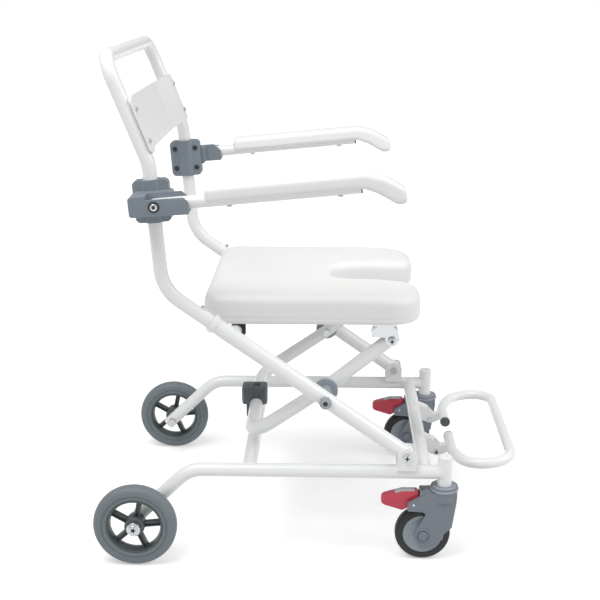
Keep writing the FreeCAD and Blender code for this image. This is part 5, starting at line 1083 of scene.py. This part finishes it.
    def pedal(self) -> None:
        """Build the red pedal with the pale grip over its crown."""
        word, body = self.side.word, f"brake_{self.side.word}"
        pedal = eased(f"brake_pedal_moulding_{word}", f"brake_pedal_{word}", self.pedal_ease, PEDAL_RED)
        seat_on(pedal, body, [f"brake_pedal_{word}"])
        (tip_x, tip_z), (bend_x, bend_z) = self.pedal_tip, self.pedal_bend
        start, finish = self.grip_ends
        before, after = self.grip_bend
        slope = (bend_z - tip_z) / (bend_x - tip_x)
        spine = [(start, tip_z + (start - tip_x) * slope), (bend_x - before, bend_z - before * slope),
                 (bend_x + after, bend_z), (finish, bend_z)]
        outline = ([(x, z - self.grip_sink) for x, z in spine]
                   + [(x, z + self.grip_rise) for x, z in reversed(spine)])
        bm = self.slab(outline, self.grip_half_width)
        bmesh.ops.bevel(bm, geom=bm.edges[:], offset=self.grip_ease * MM, segments=2,
                        affect="EDGES", profile=0.5)
        seat_on(new_piece(f"brake_pedal_grip_{word}", bm, PEDAL_INSERT), body)

    def shroud(self) -> None:
        """Build the fork's crown between the pedal and the swivel, with a dark block of painted shade in
        the slot on its top.
        """
        word, body = self.side.word, f"caster_{self.side.word}"
        rear, front = self.shroud_ends
        corner = Vector((0.0, self.shroud_half, 0.0)) * MM
        bm = bmesh.new()
        bar_between(bm, self.at(rear, self.shroud_low) - corner,
                    self.at(front, self.shroud_high) + corner, self.shroud_ease * MM)
        seat_on(new_piece(f"caster_fork_crown_{word}", bm, FORK_GREY), body)
        # Painted shade: a dark block stands for the shadowed slot in the crown's top.
        bm = bmesh.new()
        reach = Vector((*self.slot_half, 0.0)) * MM
        bar_between(bm, self.at(self.slot_x, self.shroud_high - self.slot_sink) - reach,
                    self.at(self.slot_x, self.shroud_high + self.slot_rise) + reach,
                    self.slot_ease * MM)
        seat_on(new_piece(f"caster_fork_slot_{word}", bm, CLIP_BLACK_AND_PAINTED_SHADE), body)


@dataclass
class Latch:
    """The two-part latch on the seat frame's closed end. Sizes in millimetres."""

    trees: Trees
    top: float = 245.3
    body_ease: float = 1.2
    catch_ease: float = 1.0
    thumb_rib: tuple[float, float, float] = (0.8, 11.0, 1.2)
    thumb_count: int = 5
    thumb_first: float = -131.0
    thumb_step: float = 4.0
    thumb_sink: float = 0.5
    rear_rib: tuple[float, float, float] = (1.0, 0.9, 12.0)
    rear_rib_back: float = 0.6
    rear_count: int = 6
    rear_x: float = -135.0
    rear_first: float = -8.75
    rear_step: float = 3.5
    rear_drop: float = 18.0
    side_rib: tuple[float, float, float] = (0.9, 0.9, 9.0)
    side_y: float = 17.0
    side_z: float = 233.5
    side_step: float = 4.2
    catch_first: float = -130.0
    catch_count: int = 4
    body_first: float = -109.0
    body_count: int = 5
    rib_ease: float = 0.35
    side_ease: float = 0.4
    # A dark block that paints the shade in the recess on the latch's top.
    tab_ends: tuple[float, float] = (-111.0, -99.0)
    tab_half: float = 9.0
    tab_sink: float = 0.5
    tab_rise: float = 0.9
    tab_ease: float = 0.4

    def ribs(self, name: str, body: str, low: Vector, high: Vector, ease: float, count: int,
             first: Vector, step: Vector) -> None:
        """Set a row of like ribs on one half of the latch.

        Args:
            name: The row's name.
            body: The body that it rides on.
            low: Lowest corner of one rib about its place.
            high: Its highest corner.
            ease: Width of its eased edges.
            count: How many there are.
            first: Place of the first.
            step: From each to the next.
        """
        bm = bmesh.new()
        bar_between(bm, low * MM, high * MM, ease * MM)
        row = grow(name, self.trees.row, {
            "Piece": new_piece("rib_pattern", bm, LATCH_GREY), "Count": count, "First": first * MM,
            "Step": step * MM}, LATCH_GREY)
        seat_on(row, body)

    def build(self) -> None:
        """Build the eased halves, the ribs and a dark block of painted shade in the recess on top."""
        body = eased("latch_body_moulding", "latch_body", self.body_ease, LATCH_GREY)
        seat_on(body, "seat_frame", ["latch_body"])
        catch = eased("latch_catch_moulding", "latch_catch", self.catch_ease, LATCH_GREY)
        seat_on(catch, "latch", ["latch_catch"])
        x, y, z = self.thumb_rib
        self.ribs("latch_thumb_ribs", "latch", Vector((-x, -y, 0.0)), Vector((x, y, z)),
                  self.rib_ease, self.thumb_count,
                  Vector((self.thumb_first, 0.0, self.top - self.thumb_sink)),
                  Vector((self.thumb_step, 0.0, 0.0)))
        x, y, z = self.rear_rib
        self.ribs("latch_rear_ribs", "latch", Vector((-self.rear_rib_back, -y, -z)),
                  Vector((x, y, z)), self.rib_ease, self.rear_count,
                  Vector((self.rear_x, self.rear_first, self.top - self.rear_drop)),
                  Vector((0.0, self.rear_step, 0.0)))
        corner = Vector(self.side_rib)
        for side in Side:
            for half, carrier, first, count in (
                    ("catch", "latch", self.catch_first, self.catch_count),
                    ("body", "seat_frame", self.body_first, self.body_count)):
                self.ribs(f"latch_{half}_ribs_{side.word}", carrier, -corner, corner,
                          self.side_ease, count,
                          Vector((first, side.value * self.side_y, self.side_z)),
                          Vector((self.side_step, 0.0, 0.0)))
        # Painted shade: a dark block stands for the shadowed recess on top.
        rear, front = self.tab_ends
        bm = bmesh.new()
        bar_between(bm, Vector((rear, -self.tab_half, self.top - self.tab_sink)) * MM,
                    Vector((front, self.tab_half, self.top + self.tab_rise)) * MM, self.tab_ease * MM)
        seat_on(new_piece("latch_release_tab", bm, CLIP_BLACK_AND_PAINTED_SHADE), "seat_frame")


@dataclass
class ArmrestClamps:
    """Grey clamp mouldings on the back tube that carry the armrests. Sizes in millimetres."""

    carrier_ease: float = 1.6
    plate_ease: float = 1.4

    def build(self) -> None:
        """Build the eased carriers and plates."""
        for side in Side:
            carrier = eased(f"armrest_carrier_moulding_{side.word}", f"armrest_carrier_{side.word}",
                            self.carrier_ease, CLAMP_GREY)
            seat_on(carrier, "back_frame", [f"armrest_carrier_{side.word}"])
        plates = eased("clamp_plate_mouldings", "clamp_plates", self.plate_ease, CLAMP_GREY)
        seat_on(plates, "back_frame", ["clamp_plates"])
        dress_node("clamp_bolts", BLACK_STEEL)


@dataclass(frozen=True)
class Head:
    """One visible fastener head. Sizes in millimetres."""

    place: tuple[float, float, float]
    facing: tuple[float, float, float]
    radius: float


def outward_pair(place: tuple[float, float, float], radius: float) -> list[Head]:
    """Make a head for each side that faces outwards.

    Args:
        place: Its place on the left side, in millimetres.
        radius: Its radius in millimetres.

    Returns:
        The right head and the left head.
    """
    x, y, z = place
    return [Head((x, side.value * y, z), (0.0, float(side.value), 0.0), radius) for side in Side]


@dataclass
class Fasteners:
    """Domed, driven faces on the bolts and screws. Places in millimetres, domes in head radii."""

    trees: Trees
    facets: int = 28
    dome: float = 0.2
    dome_rings: Profile = ((1.0, 0.0), (0.97, 0.08), (0.86, 0.16), (0.68, 0.2))
    recess_floor: float = 0.03
    recess_draft: float = 0.9
    # The painted shade sheet in each drive recess: its size, and its thickness about the recess floor,
    # in head radii.
    floor_size: float = 0.88
    floor_span: tuple[float, float] = (-0.02, 0.05)
    fold_bolt: tuple[float, float, float] = (174.0, 252.0, 201.0)
    footrest_bolt: tuple[float, float, float] = (241.0, 95.5, 146.0)
    hub_screw: tuple[float, float, float] = (REAR_AXLE[0], 290.3, REAR_AXLE[1])
    cross_socket: tuple[float, float, float] = (29.365, 253.0, 303.029)
    seat_bolt: tuple[float, float, float] = (146.0, 190.9, 397.477)
    arm_bolt: tuple[float, float, float] = (ARM_PIVOT[0], 301.0, ARM_PIVOT[1])
    wide_radius: float = 8.6
    bolt_radius: float = 6.8
    arm_bolt_radius: float = 5.8
    hinge_radius: float = 5.3
    screw_radius: float = 4.4
    clamp_middle: tuple[float, float, float] = (-262.696, 218.5, 656.5)
    clamp_spread: tuple[float, float] = (21.0, 20.0)
    clamp_lean: float = 4.2
    panel_foot: tuple[float, float, float] = (-267.0, 230.0, 718.0)
    panel_rows: tuple[float, float] = (34.0, 90.0)
    panel_front: float = 18.0
    panel_recline: float = 21.4

    def head_pattern(self, recess: Recess) -> bpy.types.Object:
        """Model one driven face of unit radius that faces +Z.

        Args:
            recess: The drive's outline.

        Returns:
            The face, for the fastener tree to repeat.
        """
        bm = bmesh.new()
        facets = self.facets
        angles = [FULL_TURN * k / facets for k in range(facets)]
        rings = [[bm.verts.new((radius * math.cos(a), radius * math.sin(a), height)) for a in angles]
                 for radius, height in self.dome_rings]
        bm.faces.new(list(reversed(rings[0])))
        for low, high in zip(rings, rings[1:]):
            for k in range(facets):
                n = (k + 1) % facets
                bm.faces.new((low[k], low[n], high[n], high[k]))
        outline, draft = recess.outline(), self.recess_draft
        mouth = [bm.verts.new((x, y, self.dome)) for x, y in outline]
        floor = [bm.verts.new((x * draft, y * draft, self.recess_floor)) for x, y in outline]
        count = len(outline)
        mouth_edges = [bm.edges.new((mouth[k], mouth[(k + 1) % count])) for k in range(count)]
        top_edges = [bm.edges.get((rings[-1][k], rings[-1][(k + 1) % facets])) for k in range(facets)]
        bmesh.ops.triangle_fill(bm, edges=mouth_edges + top_edges, use_beauty=True)
        for k in range(count):
            n = (k + 1) % count
            bm.faces.new((mouth[k], mouth[n], floor[n], floor[k]))
        bm.faces.new(floor)
        bmesh.ops.recalc_face_normals(bm, faces=bm.faces)
        return new_piece("head_pattern", bm, ZINC_STEEL)

    def floor_pattern(self, recess: Recess) -> bpy.types.Object:
        """Model a dark sheet of painted shade for the floor of a drive, of unit head radius, that faces
        +Z.

        Args:
            recess: The drive's outline.

        Returns:
            The painted shade sheet, for the fastener tree to repeat.
        """
        bm = bmesh.new()
        low, high = [[bm.verts.new((x * self.floor_size, y * self.floor_size, self.recess_floor + lift))
                      for x, y in recess.outline()] for lift in self.floor_span]
        bm.faces.new(list(reversed(low)))
        bm.faces.new(high)
        for k in range(len(low)):
            n = (k + 1) % len(low)
            bm.faces.new((low[k], low[n], high[n], high[k]))
        bmesh.ops.recalc_face_normals(bm, faces=bm.faces)
        return new_piece("floor_pattern", bm, RECESS_PAINTED_SHADE, smooth=False)

    def marks(self, heads: Sequence[Head]) -> bpy.types.Mesh:
        """Put the heads' places, directions and sizes on the points of a mesh.

        Args:
            heads: The heads.

        Returns:
            The point mesh.
        """
        mesh = bpy.data.meshes.new("marks")
        mesh.from_pydata([tuple(v * MM for v in head.place) for head in heads], [], [])
        mesh.attributes.new("facing", "FLOAT_VECTOR", "POINT")
        mesh.attributes.new("size", "FLOAT", "POINT")
        mesh.attributes["facing"].data.foreach_set(
            "vector", [part for head in heads for part in head.facing])
        mesh.attributes["size"].data.foreach_set("value", [head.radius * MM for head in heads])
        return mesh

    def fit(self, name: str, body: str, heads: Sequence[Head], recess: Recess,
            finish: Finish) -> None:
        """Fit one body's heads.

        Args:
            name: The piece's name.
            body: The body that they ride on.
            heads: The heads, as for one side or both.
            recess: The drive.
            finish: The heads' surface.
        """
        # Each body gets its heads and, as a second piece, the painted shade in their drive recesses.
        for label, pattern, surface in ((name, self.head_pattern(recess), finish),
                                        (f"{name}_recesses", self.floor_pattern(recess), RECESS_PAINTED_SHADE)):
            piece = grow(label, self.trees.fastener, {"Piece": pattern}, surface, self.marks(heads))
            seat_on(piece, body)

    def build(self) -> None:
        """Fit every visible head and dress the fastener nodes."""
        for node in ("fold_pivot_bolts", "footrest_hinge_bolts", "rear_axle_bolts", "cross_bolts",
                     "seat_pivot_bolts", "panel_screws", "spring_buttons", "armrest_pivot_bolts",
                     "armrest_screws_right", "armrest_screws_left"):
            dress_node(node, ZINC_STEEL)
        base = outward_pair(self.fold_bolt, self.bolt_radius)
        base += outward_pair(self.footrest_bolt, self.hinge_radius)
        hubs = outward_pair(self.hub_screw, self.wide_radius)
        cross = outward_pair(self.cross_socket, self.wide_radius)
        seat = outward_pair(self.seat_bolt, self.bolt_radius)
        arms = outward_pair(self.arm_bolt, self.arm_bolt_radius)
        for name, body, slot, heads, recess, finish in (
                ("frame_bolt_faces", "base_frame", "bolt_steel", base, Recess.CROSS, ZINC_STEEL),
                ("hub_cap_screws", "base_frame", "bolt_steel", hubs, Recess.LOBED, ZINC_STEEL),
                ("cross_cap_sockets", "lower_frame", "plug_dark", cross, Recess.HEX, CAP_GREY),
                ("seat_bolt_faces", "seat_frame", "bolt_steel", seat, Recess.CROSS, ZINC_STEEL),
                ("armrest_bolt_faces", "back_frame", "bolt_steel", arms, Recess.HEX, ZINC_STEEL),
                ("clamp_bolt_faces", "back_frame", "clamp_bolt_black", self.clamp_heads(), Recess.HEX,
                 BLACK_STEEL),
                ("panel_screw_faces", "back_frame", "bolt_steel", self.panel_heads(), Recess.CROSS,
                 ZINC_STEEL)):
            self.fit(name, body, heads, recess, finish)

    def clamp_heads(self) -> list[Head]:
        """Place four inward heads on each clamp plate.

        Returns:
            The heads.
        """
        x, y, z = self.clamp_middle
        along, up = self.clamp_spread
        c, s = math.cos(math.radians(self.clamp_lean)), math.sin(math.radians(self.clamp_lean))
        return [Head((x + dx * c - dz * s, side.value * y, z + dx * s + dz * c),
                     (0.0, -float(side.value), 0.0), self.screw_radius)
                for side in Side for dx in (-along, along) for dz in (-up, up)]

    def panel_heads(self) -> list[Head]:
        """Place two heads on each side of the back panel, facing the sitter.

        Returns:
            The heads.
        """
        x, y, z = self.panel_foot
        c, s = math.cos(math.radians(self.panel_recline)), math.sin(math.radians(self.panel_recline))
        return [Head((x - row * s + self.panel_front * c, side.value * y,
                      z + row * c + self.panel_front * s), (c, 0.0, s), self.screw_radius)
                for side in Side for row in self.panel_rows]


@dataclass
class SmallFittings:
    """Panel, plugs, caps, clips, spacers and bushes. Sizes in millimetres."""

    plug: tuple[float, float, float] = (269.0, 35.0, 155.0)
    rings: tuple[float, ...] = (2.4, 4.6, 6.8, 8.8)
    ring_section: Profile = ((-0.55, 0.3), (-0.35, -0.8), (0.35, -0.8), (0.55, 0.3))
    panel_ease: float = 1.2
    hub_cap: Profile = (
        (0.0, 281.4), (12.3, 281.4), (12.7, 282.2), (12.7, 286.4), (12.0, 288.4), (10.2, 289.9),
        (9.0, 290.3), (0.0, 290.3))
    # A dark ring round each armrest bolt: painted shade for the gap under its head.
    arm_washer: Profile = ((6.2, 297.7), (9.4, 297.7), (9.4, 298.7), (8.9, 299.2), (6.2, 299.2))

    def build(self) -> None:
        """Build the panel and the ribbed plug faces, and dress the rest."""
        panel = eased("back_panel_moulding", "back_panel", self.panel_ease, PANEL_WHITE)
        seat_on(panel, "back_frame", ["back_panel"])
        for node, finish in (("footrest_plugs", PLUG_DARK), ("armrest_plug_right", PLUG_DARK),
                             ("armrest_plug_left", PLUG_DARK), ("cross_bolt_caps", CAP_GREY),
                             ("cross_spacers", HUB_GREY), ("seat_clips", CLIP_BLACK_AND_PAINTED_SHADE),
                             ("stem_bushes", BUSH_NYLON), ("seat_brackets", ZINC_STEEL)):
            dress_node(node, finish)
        for side in Side:
            x, y, z = self.plug
            sections = [on_side([(ring + r, a) for r, a in self.ring_section], side)
                        for ring in self.rings]
            for name, profiles, place, finish, segments, body, slot in (
                    ("footrest_plug_ribs", sections, (x, side.value * y, z), PLUG_DARK, 48,
                     "footrest", "plug_dark"),
                    ("rear_hub_cap", [on_side(self.hub_cap, side)], (REAR_AXLE[0], 0.0, REAR_AXLE[1]),
                     ZINC_STEEL, 64, "base_frame", "bolt_steel"),
                    # Painted shade: the dark ring round the armrest bolt.
                    ("armrest_washer", [on_side(self.arm_washer, side)],
                     (ARM_PIVOT[0], 0.0, ARM_PIVOT[1]), CLIP_BLACK_AND_PAINTED_SHADE, 48, "back_frame", "clip_black")):
                piece = turned(f"{name}_{side.word}", profiles, Vector(place) * MM, Turning.ACROSS,
                               finish, segments)
                seat_on(piece, body)


# Studio


def floor_material(grey: float, reach: tuple[float, float],
                   glow_levels: tuple[float, float]) -> bpy.types.Material:
    """Build the pale floor, which the camera sees as white except where shadow falls.

    Args:
        grey: How much light it returns.
        reach: Distances in metres between which its glow rises.
        glow_levels: The glow nearer and farther than those.

    Returns:
        The material.
    """
    (near, far), (low, high) = reach, glow_levels
    material = bpy.data.materials.new("studio_floor")
    material.use_nodes = True
    tree = material.node_tree
    tree.nodes.clear()
    output = add_node(tree, "ShaderNodeOutputMaterial")
    diffuse = add_node(tree, "ShaderNodeBsdfDiffuse", {"Color": (grey, grey, grey, 1.0)})
    glow = add_node(tree, "ShaderNodeEmission", {"Color": (1, 1, 1, 1)})
    path = add_node(tree, "ShaderNodeLightPath")
    seen = add_node(tree, "ShaderNodeMath", {"operation": "MAXIMUM"}, {
        0: path.outputs["Is Camera Ray"], 1: path.outputs["Is Glossy Ray"]})
    place = add_node(tree, "ShaderNodeTexCoord")
    distance = add_node(tree, "ShaderNodeVectorMath", {"operation": "LENGTH"},
                        {0: place.outputs["Object"]})
    lift = add_node(tree, "ShaderNodeMapRange",
                    {"From Min": near, "From Max": far, "To Min": low, "To Max": high},
                    {"Value": distance.outputs["Value"]})
    level = add_node(tree, "ShaderNodeMath", {"operation": "MULTIPLY"},
                     {0: seen.outputs[0], 1: lift.outputs["Result"]})
    tree.links.new(level.outputs[0], glow.inputs["Strength"])
    both = add_node(tree, "ShaderNodeAddShader", links={0: diffuse.outputs[0], 1: glow.outputs[0]})
    tree.links.new(both.outputs[0], output.inputs["Surface"])
    return material


@dataclass
class Studio:
    """Floor, soft lights, white surround and the photograph's camera. Sizes in metres."""

    camera_place: tuple[float, float, float] = (0.0366, -2.1100, 1.0241)
    camera_pitch: float = 16.02
    camera_turn: float = 1.586
    focal_pixels: float = 1141.8
    frame_pixels: float = 600.0
    surround: float = 0.5
    sensor_mm: float = 36.0
    sight: float = 100.0
    floor_half: float = 30.0
    floor_drop: float = 0.0005
    floor_grey: float = 0.74
    glow_reach: tuple[float, float] = (0.45, 1.6)
    glow_levels: tuple[float, float] = (0.42, 0.8)
    key_place: tuple[float, float, float] = (-0.9, -1.0, 3.0)
    key_size: float = 1.8
    key_power: float = 58.0
    fill_place: tuple[float, float, float] = (2.3, -0.6, 1.8)
    fill_size: float = 1.6
    fill_power: float = 26.0
    aim: tuple[float, float, float] = (0.0, 0.0, 0.4)

    def build(self) -> None:
        """Set the floor, lights, surround and camera."""
        scene = bpy.context.scene
        scene.view_settings.view_transform = "Standard"
        bm = bmesh.new()
        bmesh.ops.create_grid(bm, x_segments=1, y_segments=1, size=self.floor_half)
        mesh = bpy.data.meshes.new("studio_floor")
        bm.to_mesh(mesh)
        bm.free()
        mesh.materials.append(floor_material(self.floor_grey, self.glow_reach, self.glow_levels))
        floor = bpy.data.objects.new("studio_floor", mesh)
        floor.location.z = -self.floor_drop
        scene.collection.objects.link(floor)
        self.lamp("key_light", self.key_place, self.key_size, self.key_power)
        self.lamp("fill_light", self.fill_place, self.fill_size, self.fill_power)
        self.sky()
        data = bpy.data.cameras.new("photo_camera")
        data.sensor_width = self.sensor_mm
        data.lens = self.focal_pixels / self.frame_pixels * data.sensor_width
        data.clip_end = self.sight
        camera = bpy.data.objects.new("photo_camera", data)
        camera.location = self.camera_place
        camera.rotation_euler = (math.radians(90 - self.camera_pitch), 0.0,
                                 math.radians(self.camera_turn))
        scene.collection.objects.link(camera)
        scene.camera = camera

    def lamp(self, name: str, place: tuple[float, float, float], size: float, power: float) -> None:
        """Hang one square soft light aimed at the chair's middle.

        Args:
            name: The light's name.
            place: Where it hangs.
            size: Its side.
            power: Its power in watts.
        """
        data = bpy.data.lights.new(name, "AREA")
        data.size = size
        data.energy = power
        lamp = bpy.data.objects.new(name, data)
        lamp.location = place
        aim = Vector(self.aim) - Vector(place)
        lamp.rotation_euler = aim.to_track_quat("-Z", "Y").to_euler()
        bpy.context.scene.collection.objects.link(lamp)

    def sky(self) -> None:
        """Light the chair from all round, and show pure white behind it."""
        world = bpy.data.worlds.new("studio_surround")
        world.use_nodes = True
        bpy.context.scene.world = world
        tree = world.node_tree
        tree.nodes.clear()
        output = add_node(tree, "ShaderNodeOutputWorld")
        background = add_node(tree, "ShaderNodeBackground", {"Color": (1, 1, 1, 1)})
        tree.links.new(background.outputs[0], output.inputs["Surface"])
        path = add_node(tree, "ShaderNodeLightPath")
        seen = add_node(tree, "ShaderNodeMath", {"operation": "MAXIMUM"}, {
            0: path.outputs["Is Camera Ray"], 1: path.outputs["Is Transmission Ray"]})
        strength = add_node(tree, "ShaderNodeMapRange",
                            {"To Min": self.surround, "To Max": 1.0}, {"Value": seen.outputs[0]})
        tree.links.new(strength.outputs["Result"], background.inputs["Strength"])


def main() -> None:
    trees = Trees()
    steel = SteelFrame()
    steel.dress()
    steel.weld(trees)
    SeatPad("seat_pad_skin", "seat_pad", "seat", 4.5, 1.0).build()
    for side in Side:
        ArmPad(f"armrest_pad_skin_{side.word}", f"armrest_pad_{side.word}", f"armrest_{side.word}",
               3.0, 1.0, 3, side=side).build()
        RearWheel(side, trees).build()
        Caster(side).build()
    Latch(trees).build()
    ArmrestClamps().build()
    SmallFittings().build()
    Fasteners(trees).build()
    Studio().build()


if __name__ == "__main__":
    main()
